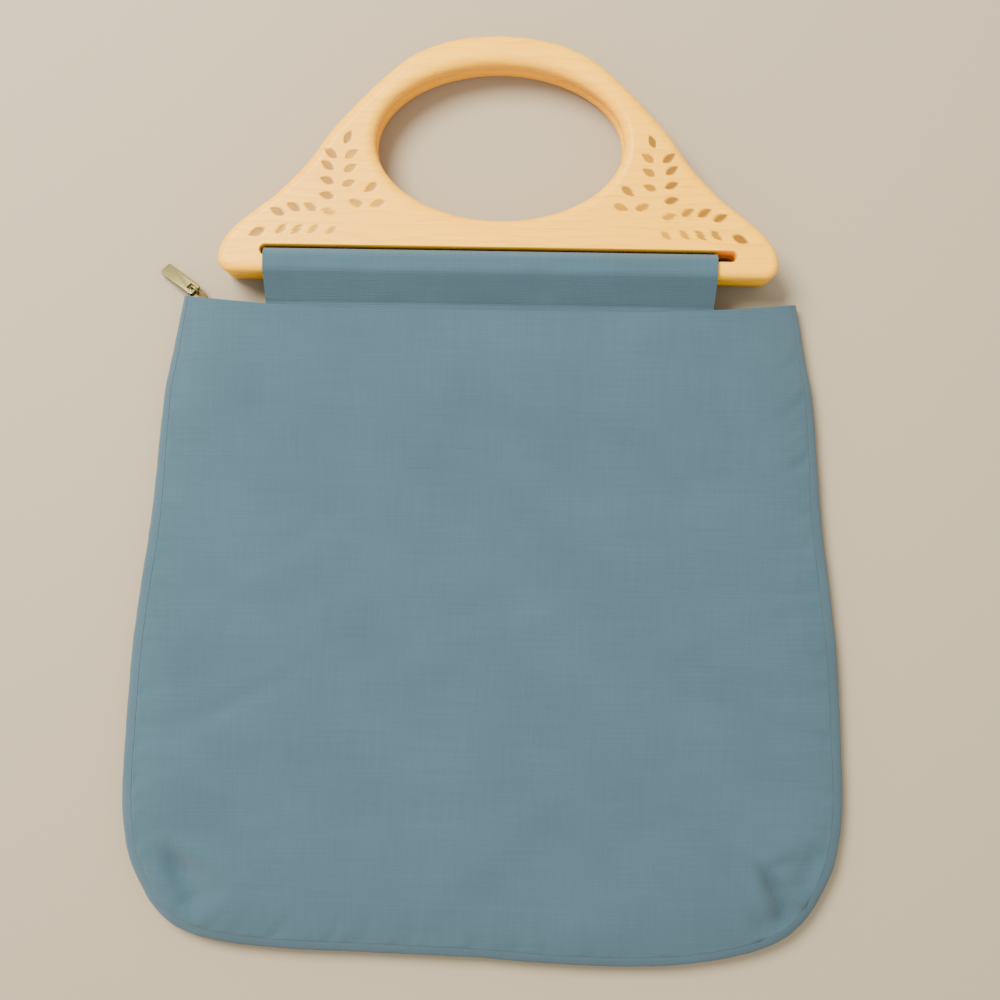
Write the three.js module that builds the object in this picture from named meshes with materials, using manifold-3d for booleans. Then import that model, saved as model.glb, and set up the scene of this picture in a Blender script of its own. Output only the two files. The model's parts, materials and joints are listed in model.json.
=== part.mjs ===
import * as THREE from "three";
import { mergeVertices } from "three/addons/utils/BufferGeometryUtils.js";
import Module from "manifold-3d";

// A zipped cloth handbag with two wooden handles, lying empty on its back.
// Millimetres, +Z up from the surface it lies on, +Y towards the handles, +X to the right.

const wasm = await Module();
wasm.setup();

// Cloth thicknesses, and the clearance that neighbouring pieces keep
const panelWall = 1.5;
const casingWall = 1.2;
const tapeWall = 0.8;
const seatGap = 0.3;

// Pouch: overall outline, the cloth's rise off the surface, and the turned-up rim of the back panel
const bagWidth = 364;
const bagLength = 333;
const mouthDip = 6;
const bottomLean = 10;
const bellyHeight = 15;
const rimReach = 12;
const rimHeight = 13;
const seamAngle = THREE.MathUtils.degToRad(58);
const domeRun = 26;

// Handles: a flat board with an arched top, an oval hand opening and a slot over the lower bar
const handleWidth = 276;
const handleHeight = 120.5;
const handleThickness = 12;
const handleRounding = 4;
const handleShift = 3.9;
const toeRadius = 7;
const openingWidth = 123;
const archBand = 15.5;
const bridgeHeight = 14.2;
const barHeight = 8.2;
const slotHeight = 5;
const slotWidth = 234;

// Casings: the tabs of cloth that hold the bars
const casingWidth = 223;
const casingSlack = 0.6;
const crestGap = 0.6;
const barToHem = 15.75;
const tailDepth = 12;

// Zip: the tape's web faces +Y between the hems, and its left end turns flat into the slider
const webRecess = 3;
const webEase = 6;
const flangeDepth = 6;
const teethWidth = 4.4;
const teethHeight = 1.4;
const teethGap = 0.45;
const sliderLength = 9;
const sliderWidth = 6.4;
const sliderPlate = 1;
const sliderChannel = 2;
const bailRadius = 2.4;
const bailWire = 1.3;
const joinDepth = 0.15; // how far the slider's own parts run into each other
const plateTaper = 0.8;
const hingeInset = 2.6;
const hingeProud = 3.4;
const pullLength = 21;
const pullWidth = 6.8;
const pullThickness = 1.6;
const pullYaw = THREE.MathUtils.degToRad(139);
const pullRoll = THREE.MathUtils.degToRad(20);
const pullDroop = THREE.MathUtils.degToRad(17);

// Half outline of the pouch from the mouth corner to the bottom's middle:
// out is a share of half bagWidth, down a share of bagLength
const outlineRows = [
  { out: 0.849, down: 0 },
  { out: 0.876, down: 0.08 },
  { out: 0.898, down: 0.14 },
  { out: 0.914, down: 0.23 },
  { out: 0.93, down: 0.33 },
  { out: 0.958, down: 0.442 },
  { out: 0.978, down: 0.533 },
  { out: 0.992, down: 0.65 },
  { out: 1.0, down: 0.76 },
  { out: 0.985, down: 0.838 },
  { out: 0.95, down: 0.888 },
  { out: 0.9, down: 0.932 },
  { out: 0.83, down: 0.963 },
  { out: 0.7, down: 0.985 },
  { out: 0.5, down: 0.997 },
  { out: 0.22, down: 0.999 },
  { out: 0, down: 0.997 },
];

// Rim of the back panel: down is the share of the way from the mouth to the bottom corner,
// reach and rise are shares of rimReach and rimHeight
const rimRows = [
  { down: 0, reach: 0.5, rise: 0.92 },
  { down: 0.12, reach: 0.7, rise: 0.92 },
  { down: 0.4, reach: 1, rise: 1 },
  { down: 1, reach: 1, rise: 1 },
];

// Height of the front panel's crown below the hem: height is a share of bellyHeight
const crownRows = [
  { down: 0, height: 1.04 },
  { down: 0.45, height: 0.97 },
  { down: 0.7, height: 1 },
  { down: 1, height: 1.05 },
];

// Broad dents of the slack front: across and down are shares of half bagWidth and bagLength,
// wide and long shares of bagWidth, deep a share of bellyHeight
const dentRows = [
  { across: -0.3, down: 0.28, wide: 0.2, long: 0.1, deep: 0.05 },
  { across: 0.32, down: 0.42, wide: 0.18, long: 0.12, deep: 0.06 },
  { across: -0.1, down: 0.6, wide: 0.24, long: 0.11, deep: 0.08 },
  { across: 0.42, down: 0.74, wide: 0.14, long: 0.09, deep: 0.06 },
  { across: -0.5, down: 0.8, wide: 0.13, long: 0.08, deep: 0.07 },
];

// Creases at the bottom corners: ends as shares of half bagWidth and bagLength,
// width a share of bagWidth, deep a share of bellyHeight
const creaseRows = [
  { fromX: 0.78, fromDown: 0.857, toX: 0.878, toDown: 0.953, width: 0.02, deep: 0.2 },
  { fromX: 0.956, fromDown: 0.83, toX: 0.9, toDown: 0.93, width: 0.014, deep: 0.1 },
  { fromX: -0.873, fromDown: 0.837, toX: -0.8, toDown: 0.935, width: 0.018, deep: 0.18 },
  { fromX: -0.83, fromDown: 0.867, toX: -0.73, toDown: 0.904, width: 0.018, deep: 0.12 },
];

// Half outline of a handle from the arch's top to the toe:
// out is a share of half handleWidth, up a share of handleHeight
const handleRows = [
  { out: 0, up: 1 },
  { out: 0.121, up: 0.988 },
  { out: 0.221, up: 0.962 },
  { out: 0.328, up: 0.905 },
  { out: 0.421, up: 0.817 },
  { out: 0.506, up: 0.72 },
  { out: 0.606, up: 0.592 },
  { out: 0.684, up: 0.463 },
  { out: 0.788, up: 0.334 },
  { out: 0.856, up: 0.27 },
  { out: 0.927, up: 0.205 },
  { out: 0.978, up: 0.139 },
  { out: 0.998, up: 0.085 },
];

// Grid of the panels: columns across, rows down, steps round the rim
const columns = 20;
const rows = 16;
const rimSteps = 4;
const cornerRun = 0.65; // share of the half outline's length where the grid turns from side to bottom
const hemFade = 0.3; // share of bagLength over which the height of the hem fades into the belly's

const { lerp, smoothstep, clamp } = THREE.MathUtils;

// The hand opening fills the height that the arch, the bridge over the slot, the slot and the bar leave.
const openingHeight = handleHeight - archBand - bridgeHeight - slotHeight - barHeight;
const openingCentre = handleHeight - archBand - openingHeight / 2;

// Heights of the stack at the hems, from the surface up
const backBarZ = casingWall + casingSlack;
const casingDepth = 2 * (casingWall + casingSlack) + handleThickness;
const frontCasingZ = casingDepth + seatGap;
const frontBarZ = frontCasingZ + casingWall + casingSlack;
const tailThickness = 2 * casingWall;
const backTailZ = panelWall + seatGap;
const hemHeight = frontCasingZ + tailThickness + seatGap + panelWall;

const halfWidth = bagWidth / 2;
const halfOutline = new THREE.SplineCurve(
  outlineRows.map(({ out, down }) => new THREE.Vector2(out * halfWidth, -down * bagLength)),
);
halfOutline.arcLengthDivisions = 400;

// A column of a table at a place between its rows, eased so that it has no kinks.
function tableAt(table, column, down) {
  const after = Math.max(1, table.findIndex((row) => row.down >= down));
  const [a, b] = [table[after - 1], table[after]];
  return lerp(a[column], b[column], smoothstep(down, a.down, b.down));
}

// How far the bottom edge hangs lower on the right than on the left, at a signed share across.
function leanAt(across, run) {
  return bottomLean * across * (1 - across ** 2) ** 2 * smoothstep(run, 0.5 * cornerRun, cornerRun);
}

// A point of the rim's section: run goes round half the outline from the mouth corner,
// angle from -90 degrees on the surface past 0 at the widest, depth from the outer face inwards.
function rimPoint(side, run, angle, depth) {
  const down = Math.min(run / cornerRun, 1);
  const reach = rimReach * tableAt(rimRows, "reach", down);
  const rise = (rimHeight * tableAt(rimRows, "rise", down)) / 2;
  const out = new THREE.Vector2(Math.cos(angle) / reach, Math.sin(angle) / rise).normalize();
  const inset = reach * (1 - Math.cos(angle)) + depth * out.x;
  const edge = halfOutline.getPointAt(run);
  const along = halfOutline.getTangentAt(run);
  const lean = leanAt((side * edge.x) / halfWidth, run);
  return new THREE.Vector3(
    side * (edge.x + along.y * inset),
    edge.y - along.x * inset - lean,
    rise * (1 + Math.sin(angle)) - depth * out.y,
  );
}

// The angle on the rim that lies a given distance past the seam.
function pastSeam(run, distance) {
  const down = Math.min(run / cornerRun, 1);
  const reach = rimReach * tableAt(rimRows, "reach", down);
  const rise = (rimHeight * tableAt(rimRows, "rise", down)) / 2;
  const perRadian = Math.hypot(reach * Math.sin(seamAngle), rise * Math.cos(seamAngle));
  return seamAngle + distance / perRadian;
}

// A patch filled between four edges: the mouth line, the two sides and the bottom.
// at(side, run) gives a point of its rim; across and down run from 0 to 1.
function fillPatch(across, down, at) {
  const left = at(-1, down * cornerRun);
  const right = at(1, down * cornerRun);
  const [topLeft, topRight] = [at(-1, 0), at(1, 0)];
  const [lowLeft, lowRight] = [at(-1, cornerRun), at(1, cornerRun)];
  const top = topLeft.clone().lerp(topRight, across);
  top.y -= mouthDip * (1 - (2 * across - 1) ** 4);
  const away = Math.abs(2 * across - 1);
  const bottom = at(across < 0.5 ? -1 : 1, 1 - away * (1 - cornerRun));
  const corners = topLeft.lerp(topRight, across).lerp(lowLeft.lerp(lowRight, across), down);
  return left.lerp(right, across).add(top.lerp(bottom, down)).sub(corners);
}

const mouthCorner = rimPoint(1, 0, pastSeam(0, seatGap / 2), 0);

// The hem's line across the mouth.
function mouthY(x) {
  return mouthCorner.y - mouthDip * (1 - (x / mouthCorner.x) ** 4);
}

// Share of the full rise at a distance in from a seam: a parabola that levels out after run.
function rising(distance, run) {
  return 1 - (1 - clamp(distance / run, 0, 1)) ** 2;
}

const mouthRun = mouthCorner.x - casingWidth / 2 - 1;
const hemFlat = tailDepth / bagLength;

// Height of the front panel's outer face over a point of its patch: level with the hem
// over the casing's tail, then easing down to the belly.
function frontHeight(across, down, seamZ, sheetDepth) {
  const atHem = 1 - smoothstep(down, hemFlat, hemFade);
  const crown = lerp(bellyHeight * tableAt(crownRows, "height", down), hemHeight, atHem);
  const run = lerp(domeRun, mouthRun, atHem);
  const fromSide = halfWidth * (1 - Math.abs(2 * across - 1));
  const share = rising(fromSide, run) * rising((1 - down) * bagLength, domeRun);
  return { z: lerp(seamZ, crown - sheetDepth, share), share };
}

// Depth of the dents and creases at a point of the front.
function slackAt(point) {
  let deep = 0;
  for (const dent of dentRows) {
    const x = (point.x - dent.across * halfWidth) / (dent.wide * bagWidth);
    const y = (point.y + dent.down * bagLength) / (dent.long * bagWidth);
    deep += dent.deep * Math.exp(-x * x - y * y);
  }
  for (const crease of creaseRows) {
    const from = new THREE.Vector3(crease.fromX * halfWidth, -crease.fromDown * bagLength, 0);
    const to = new THREE.Vector3(crease.toX * halfWidth, -crease.toDown * bagLength, 0);
    const flat = new THREE.Vector3(point.x, point.y, 0);
    const nearest = new THREE.Line3(from, to).closestPointToPoint(flat, true, new THREE.Vector3());
    const away = nearest.distanceTo(flat) / (crease.width * bagWidth);
    deep += crease.deep * Math.exp(-away * away);
  }
  return deep * bellyHeight;
}

// A sheet of cloth gathered as pairs of outer and inner points, closed into one shell.
class Sheet {
  outer = [];
  inner = [];
  faces = [];
  known = new Map();

  // at(column share, row share, depth) gives a point; columns x rows normals point outwards.
  addGrid(columnShares, rowShares, wall, at) {
    const index = columnShares.map((c) => rowShares.map((r) => this.addPoint(at(c, r, 0), at(c, r, wall))));
    for (let c = 1; c < index.length; c++)
      for (let r = 1; r < index[c].length; r++) {
        const [a, b, d, e] = [index[c - 1][r - 1], index[c][r - 1], index[c][r], index[c - 1][r]];
        this.faces.push([a, b, d], [a, d, e]);
      }
  }

  addPoint(outer, inner) {
    const key = outer.toArray().map((v) => v.toFixed(3)).join();
    if (!this.known.has(key)) {
      this.known.set(key, this.outer.length);
      this.outer.push(outer);
      this.inner.push(inner);
    }
    return this.known.get(key);
  }

  geometry() {
    const count = this.outer.length;
    const edges = new Set(this.faces.flatMap(([a, b, c]) => [`${a} ${b}`, `${b} ${c}`, `${c} ${a}`]));
    const index = [];
    for (const [a, b, c] of this.faces) {
      index.push(a, b, c, c + count, b + count, a + count);
      for (const [from, to] of [[a, b], [b, c], [c, a]])
        if (!edges.has(`${to} ${from}`))
          index.push(to, from, from + count, to, from + count, to + count);
    }
    const points = [...this.outer, ...this.inner];
    return new THREE.BufferGeometry().setFromPoints(points).setIndex(index);
  }
}

// Shares from 0 to 1 that lie closer together near both ends.
function easedShares(count) {
  return Array.from({ length: count + 1 }, (_, i) => 0.5 - 0.5 * Math.cos((Math.PI * i) / count));
}

const acrossShares = easedShares(columns);
const downShares = easedShares(rows);

function frontPanel() {
  const sheet = new Sheet();
  sheet.addGrid(downShares, acrossShares, panelWall, (down, across, depth) => {
    const seam = (side, run) => rimPoint(side, run, pastSeam(run, seatGap / 2), depth);
    const point = fillPatch(across, down, seam);
    const run = down * cornerRun;
    const seamZ = rimPoint(1, run, pastSeam(run, seatGap / 2), depth).z;
    const { z, share } = frontHeight(across, down, seamZ, depth);
    point.z = z - slackAt(point) * share * smoothstep(down, hemFlat, hemFade);
    return point;
  });
  return sheet.geometry();
}

function backPanel() {
  const sheet = new Sheet();
  const flatAngle = -Math.PI / 2;
  sheet.addGrid(acrossShares, downShares, panelWall, (across, down, depth) =>
    fillPatch(across, down, (side, run) => rimPoint(side, run, flatAngle, depth)),
  );
  const sideRuns = downShares.map((share) => share * cornerRun);
  const bottomRuns = acrossShares.map((share) => 1 - Math.abs(2 * share - 1) * (1 - cornerRun));
  const stations = [
    ...sideRuns.map((run) => ({ side: -1, run })),
    ...bottomRuns.slice(1, -1).map((run, i) => ({ side: acrossShares[i + 1] < 0.5 ? -1 : 1, run })),
    ...sideRuns.reverse().map((run) => ({ side: 1, run })),
  ];
  const turns = Array.from({ length: rimSteps + 1 }, (_, i) => i / rimSteps);
  sheet.addGrid(stations, turns, panelWall, ({ side, run }, turn, depth) =>
    rimPoint(side, run, lerp(flatAngle, pastSeam(run, -seatGap / 2), turn), depth),
  );
  return sheet.geometry();
}

// A closed geometry as a solid for joining and cutting, and back again.
function solidOf(geometry) {
  const bare = geometry.clone();
  bare.deleteAttribute("normal");
  bare.deleteAttribute("uv");
  const merged = mergeVertices(bare, 1e-4);
  const triVerts = new Uint32Array(merged.index.array);
  return new wasm.Manifold(
    new wasm.Mesh({ numProp: 3, vertProperties: merged.attributes.position.array, triVerts }),
  );
}

function geometryOf(solid) {
  const { vertProperties, triVerts } = solid.getMesh();
  return new THREE.BufferGeometry()
    .setAttribute("position", new THREE.BufferAttribute(vertProperties, 3))
    .setIndex(new THREE.BufferAttribute(triVerts, 1));
}

// A handle lying face up: x across, y up from the lower edge, z from its underside.
function handleBoard() {
  const half = handleWidth / 2;
  const curve = new THREE.SplineCurve(
    handleRows.map(({ out, up }) => new THREE.Vector2(out * half, up * handleHeight)),
  );
  const toe = new THREE.EllipseCurve(half - toeRadius, toeRadius, toeRadius, toeRadius, 0, -Math.PI / 2, true);
  const right = [...curve.getPoints(22), ...toe.getPoints(4)];
  const left = right.slice(1).reverse().map(({ x, y }) => new THREE.Vector2(-x, y));
  const board = new THREE.Shape([...right, ...left]);
  board.holes.push(
    new THREE.Path().absellipse(0, openingCentre, openingWidth / 2, openingHeight / 2, 0, 2 * Math.PI),
  );
  const body = new THREE.ExtrudeGeometry(board, {
    depth: handleThickness - 2 * handleRounding,
    bevelThickness: handleRounding,
    bevelSize: handleRounding,
    bevelOffset: -handleRounding,
    bevelSegments: 3,
    curveSegments: 34,
  }).translate(0, 0, handleRounding);
  const slotEnd = slotHeight / 2;
  const slotY = barHeight + slotEnd;
  const slot = new THREE.Shape()
    .absarc(slotWidth / 2 - slotEnd, slotY, slotEnd, -Math.PI / 2, Math.PI / 2)
    .absarc(slotEnd - slotWidth / 2, slotY, slotEnd, Math.PI / 2, -Math.PI / 2);
  const cut = new THREE.ExtrudeGeometry(slot, {
    depth: 3 * handleThickness,
    bevelEnabled: false,
    curveSegments: 6,
  }).translate(0, 0, -handleThickness);
  return geometryOf(solidOf(body).subtract(solidOf(cut)));
}

// The point where a line from outside touches a circle on its upper side, in (y, z).
function tangentPoint(from, centre, radius) {
  const reach = from.clone().sub(centre);
  const turn = Math.acos(radius / reach.length());
  return reach.setLength(radius).rotateAround(new THREE.Vector2(), -turn).add(centre);
}

// A casing's section in (y, z), y up from the bar's lower edge: a loop round the bar
// that runs down into a flat tail of two layers behind the hem.
function casing(lowZ, tailZ) {
  const highZ = lowZ + casingDepth;
  const middleZ = lowZ + casingDepth / 2;
  const hemY = mouthY(casingWidth / 2) + 1 - barY;
  const tailEndY = mouthY(0) - tailDepth - barY;
  const crestRise = slotHeight - crestGap;
  const round = handleRounding + casingSlack + casingWall;
  const centre = new THREE.Vector2(handleRounding, highZ - round);
  const tailTop = new THREE.Vector2(hemY, tailZ + tailThickness);
  const touch = tangentPoint(tailTop, centre, round);
  const touchAngle = Math.atan2(touch.y - centre.y, touch.x - centre.x);

  const outside = new THREE.Shape()
    .moveTo(tailEndY, tailZ)
    .lineTo(hemY, tailZ)
    .lineTo(0, lowZ)
    .lineTo(barHeight, lowZ)
    .absellipse(barHeight, middleZ, crestRise, casingDepth / 2, -Math.PI / 2, Math.PI / 2)
    .absarc(centre.x, centre.y, round, Math.PI / 2, touchAngle)
    .lineTo(tailTop.x, tailTop.y)
    .lineTo(tailEndY, tailTop.y);

  const innerTouch = touch.clone().sub(centre).setLength(round - casingWall).add(centre);
  const slope = (touch.y - tailTop.y) / (touch.x - tailTop.x);
  const lowSlope = (tailZ - lowZ) / hemY;
  const floorZ = lowZ + casingWall;
  const meetY = (floorZ - innerTouch.y + slope * innerTouch.x) / (slope - lowSlope);
  const meet = new THREE.Vector2(meetY, floorZ + lowSlope * meetY);
  outside.holes.push(
    new THREE.Path()
      .moveTo(meet.x, meet.y)
      .lineTo(0, floorZ)
      .lineTo(barHeight, floorZ)
      .absellipse(
        barHeight,
        middleZ,
        crestRise - casingWall,
        casingDepth / 2 - casingWall,
        -Math.PI / 2,
        Math.PI / 2,
      )
      .absarc(centre.x, centre.y, round - casingWall, Math.PI / 2, touchAngle)
      .lineTo(meet.x, meet.y),
  );
  const alongX = new THREE.Matrix4().makeBasis(
    new THREE.Vector3(0, 1, 0),
    new THREE.Vector3(0, 0, 1),
    new THREE.Vector3(1, 0, 0),
  );
  return new THREE.ExtrudeGeometry(outside, {
    depth: casingWidth,
    bevelEnabled: false,
    curveSegments: 8,
  })
    .translate(0, 0, -casingWidth / 2)
    .applyMatrix4(alongX);
}

const barY = mouthY(0) + barToHem;

// A flat strip carried along stations of centre, across direction and half width,
// lifted off their middle towards the zip's face.
function ribbon(stations, thickness, lift = 0) {
  const points = [];
  const index = [];
  stations.forEach(({ centre, across, half }, i) => {
    const before = stations[Math.max(i - 1, 0)].centre;
    const after = stations[Math.min(i + 1, stations.length - 1)].centre;
    const out = after.clone().sub(before).cross(across).normalize();
    for (const [s, o] of [[1, 1], [-1, 1], [-1, -1], [1, -1]])
      points.push(
        centre
          .clone()
          .addScaledVector(across, s * half)
          .addScaledVector(out, lift + (o * thickness) / 2),
      );
    if (i === 0) return;
    const [last, next] = [4 * i - 4, 4 * i];
    for (let k = 0; k < 4; k++) {
      const turn = (k + 1) % 4;
      index.push(last + k, last + turn, next + turn, last + k, next + turn, next + k);
    }
  });
  const end = points.length - 4;
  index.push(0, 2, 1, 0, 3, 2, end, end + 1, end + 2, end, end + 2, end + 3);
  return new THREE.BufferGeometry().setFromPoints(points).setIndex(index);
}

// The slider's frame: x out along its travel, z off its face, with its origin on the pull's hinge.
const bailLift = bailRadius - bailWire / 2 - joinDepth;
const sliderHeight = 2 * sliderPlate + sliderChannel;
const sliderFrame = new THREE.Group();
const sliderDrop =
  (bailLift + sliderHeight) * Math.cos(pullRoll) + (sliderWidth / 2) * Math.sin(pullRoll);
sliderFrame.position.set(
  hingeInset - mouthCorner.x,
  mouthCorner.y + hingeProud,
  panelWall + seatGap + sliderDrop,
);
sliderFrame.rotation.set(pullRoll, 0, pullYaw, "ZYX");
sliderFrame.updateMatrix();

function inSlider(x, y, z) {
  return new THREE.Vector3(x, y, z).applyMatrix4(sliderFrame.matrix);
}

const noseX = bailRadius;
const rearX = noseX - sliderLength;
const channelZ = -bailLift - sliderPlate - sliderChannel / 2;
const sliderAcross = inSlider(0, 1, 0).sub(sliderFrame.position);
const upright = new THREE.Vector3(0, 0, 1);

// The tape's course: straight along the mouth from the right, then turned flat behind the slider.
function zipCourse() {
  const straightSteps = 12;
  const turnSteps = 16;
  const rightX = mouthCorner.x - webRecess;
  const casingEnd = casingWidth / 2;
  const pastCasing = casingEnd + webEase;
  const stations = [];
  const places = [rightX, lerp(rightX, pastCasing, 0.35), lerp(rightX, pastCasing, 0.7), pastCasing];
  for (let i = 0; i <= straightSteps; i++) places.push(casingEnd * (1 - (2 * i) / straightSteps));
  places.push(-pastCasing);
  for (const x of places) {
    const { low, high } = webSpan(x);
    const centre = new THREE.Vector3(x, mouthY(x) - webRecess, (low + high) / 2);
    stations.push({ centre, across: upright, half: (high - low) / 2 });
  }
  const start = stations.at(-1);
  const run = new THREE.CatmullRomCurve3([
    start.centre,
    inSlider(rearX - sliderLength, 0, channelZ - teethLift),
    inSlider(rearX - seatGap, 0, channelZ - teethLift),
  ]);
  for (let i = 1; i <= turnSteps; i++) {
    const turned = smoothstep(i / turnSteps, 0, 0.8);
    const centre = run.getPoint(i / turnSteps);
    const across = upright.clone().lerp(sliderAcross, turned).normalize();
    const half = lerp(start.half, teethWidth / 2, turned);
    centre.z = Math.max(centre.z, panelWall + seatGap + tapeWall / 2 + half * across.z);
    stations.push({ centre, across, half });
  }
  return stations;
}

const teethLift = tapeWall / 2 + teethGap + teethHeight / 2;

// Lowest and highest place of the tape's web between the two hems.
function webSpan(x) {
  const past = smoothstep(Math.abs(x), casingWidth / 2, casingWidth / 2 + webEase);
  const low = lerp(backTailZ + tailThickness + seatGap, panelWall + seatGap, past);
  const fromSeam = mouthCorner.x - Math.abs(x);
  const inner = lerp(mouthCorner.z, hemHeight, rising(fromSeam, mouthRun)) - panelWall;
  return { low, high: Math.min(frontCasingZ, inner) - 2 * seatGap };
}

function zipTape() {
  let solid = solidOf(ribbon(zipCourse(), tapeWall));
  const flangeSteps = 12;
  for (const edge of ["low", "high"]) {
    const stations = Array.from({ length: flangeSteps + 1 }, (_, i) => {
      const x = lerp(0.5, -0.5, i / flangeSteps) * casingWidth;
      const inset = edge === "low" ? tapeWall / 2 : -tapeWall / 2;
      const y = mouthY(x) - webRecess - flangeDepth / 2;
      return {
        centre: new THREE.Vector3(x, y, webSpan(x)[edge] + inset),
        across: new THREE.Vector3(0, 1, 0),
        half: flangeDepth / 2,
      };
    });
    solid = solid.add(solidOf(ribbon(stations, tapeWall)));
  }
  return geometryOf(solid);
}

function zipTeeth() {
  const stations = zipCourse().map((station) => ({ ...station, half: teethWidth / 2 }));
  const endX = noseX - sliderLength / 3 - sliderPlate - seatGap;
  const end = inSlider(endX, 0, channelZ - teethLift);
  stations.push({ ...stations.at(-1), centre: end });
  return ribbon(stations, teethHeight, teethLift);
}

// The slider: two plates joined by a post at the nose, with an arched bail on top.
function zipSlider() {
  const halfPlate = sliderWidth / 2;
  const plate = new THREE.Shape()
    .moveTo(rearX, -halfPlate * plateTaper)
    .lineTo(rearX + sliderLength / 2, -halfPlate)
    .quadraticCurveTo(noseX, -halfPlate, noseX, 0)
    .quadraticCurveTo(noseX, halfPlate, rearX + sliderLength / 2, halfPlate)
    .lineTo(rearX, halfPlate * plateTaper)
    .closePath();
  const slab = (z) =>
    new THREE.ExtrudeGeometry(plate, { depth: sliderPlate, bevelEnabled: false, curveSegments: 4 })
      .translate(0, 0, z);
  const topZ = -bailLift - sliderPlate;
  const lowZ = -bailLift - sliderHeight;
  const post = new THREE.CylinderGeometry(sliderPlate, sliderPlate, sliderHeight - 2 * joinDepth, 8)
    .rotateX(Math.PI / 2)
    .translate(noseX - sliderLength / 3, 0, (lowZ - bailLift) / 2);
  const legAngle = Math.asin((bailLift + sliderPlate / 2) / bailRadius);
  const arch = new THREE.CatmullRomCurve3(
    Array.from({ length: 13 }, (_, i) => {
      const angle = lerp(-legAngle, Math.PI + legAngle, i / 12);
      return new THREE.Vector3(bailRadius * Math.cos(angle), 0, bailRadius * Math.sin(angle));
    }),
  );
  const wire = new THREE.Shape().absarc(0, 0, bailWire / 2, 0, 2 * Math.PI);
  const bail = new THREE.ExtrudeGeometry(wire, { steps: 14, extrudePath: arch, curveSegments: 8 });
  return geometryOf(
    solidOf(slab(topZ)).add(solidOf(slab(lowZ))).add(solidOf(post)).add(solidOf(bail)),
  );
}

// The pull: a flat bar with an eye at the hinge, lying out along x.
function zipPull() {
  const half = pullWidth / 2;
  const backX = -pullThickness / 2;
  const corner = 1;
  const bar = new THREE.Shape()
    .moveTo(backX, half - corner)
    .lineTo(backX, corner - half)
    .quadraticCurveTo(backX, -half, backX + corner, -half)
    .lineTo(pullLength - corner, -half)
    .quadraticCurveTo(pullLength, -half, pullLength, corner - half)
    .lineTo(pullLength, half - corner)
    .quadraticCurveTo(pullLength, half, pullLength - corner, half)
    .lineTo(backX + corner, half)
    .quadraticCurveTo(backX, half, backX, half - corner);
  const eyeLength = bailRadius + bailWire / 2 + 1;
  const eyeHalf = half / 2;
  bar.holes.push(
    new THREE.Path()
      .moveTo(pullThickness / 2, -eyeHalf)
      .lineTo(pullThickness / 2, eyeHalf)
      .lineTo(eyeLength, eyeHalf)
      .lineTo(eyeLength, -eyeHalf)
      .closePath(),
  );
  return new THREE.ExtrudeGeometry(bar, {
    depth: pullThickness,
    bevelEnabled: false,
    curveSegments: 4,
  }).translate(0, 0, -pullThickness / 2);
}

const cloth = new THREE.MeshStandardMaterial({ color: 0x718f98, roughness: 0.95 });
const wood = new THREE.MeshStandardMaterial({ color: 0xeec48e, roughness: 0.5 });
const tapeCloth = new THREE.MeshStandardMaterial({ color: 0x5a7681, roughness: 0.9 });
const brass = new THREE.MeshStandardMaterial({ color: 0xb9ad7c, roughness: 0.35, metalness: 0.9 });

function piece(name, geometry, material) {
  geometry.computeVertexNormals();
  const mesh = new THREE.Mesh(geometry, material.clone());
  mesh.name = name;
  return mesh;
}

// A handle on its bar's middle, tipped so that its arch drops by the given height.
function seatedHandle(name, underZ, drop) {
  const seat = new THREE.Group();
  const lever = handleHeight - handleRounding - barHeight / 2;
  seat.position.set(handleShift, barY + barHeight / 2, underZ);
  seat.rotation.x = -Math.asin(drop / lever);
  const handle = piece(name, handleBoard(), wood);
  handle.position.y = -barHeight / 2;
  seat.add(handle);
  return seat;
}

function seatedCasing(name, lowZ, tailZ) {
  const loop = piece(name, casing(lowZ, tailZ), cloth);
  loop.position.y = barY;
  return loop;
}

const bag = new THREE.Group();
bag.add(piece("front_panel", frontPanel(), cloth));
bag.add(piece("back_panel", backPanel(), cloth));
bag.add(seatedCasing("front_casing", frontCasingZ, frontCasingZ));
bag.add(seatedCasing("back_casing", 0, backTailZ));
bag.add(seatedHandle("front_handle", frontBarZ, frontBarZ - handleThickness - seatGap));
bag.add(seatedHandle("back_handle", backBarZ, backBarZ));
bag.add(piece("zip_tape", zipTape(), tapeCloth));
bag.add(piece("zip_teeth", zipTeeth(), brass));

sliderFrame.add(piece("zip_slider", zipSlider(), brass));
const pull = piece("zip_pull", zipPull(), brass);
pull.rotation.y = pullDroop;
sliderFrame.add(pull);
bag.add(sliderFrame);

// The origin lies under the middle of the whole.
const middle = new THREE.Box3().setFromObject(bag, true).getCenter(new THREE.Vector3());
bag.position.set(-middle.x, -middle.y, 0);

const root = new THREE.Group();
root.add(bag);

export default root;
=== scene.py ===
"""A zipped cloth handbag with two wooden handles, lying empty on its back.

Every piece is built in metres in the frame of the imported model: +Z up from the floor, +Y from
the bottom of the pouch towards the handles, and +X to the right seen from above.
"""

import json
import math

import bmesh
import bpy
import numpy as np
from bpy.props import FloatProperty, FloatVectorProperty, IntProperty, PointerProperty
from bpy.types import Operator, Panel, PropertyGroup
from mathutils import Matrix, Vector


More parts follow.
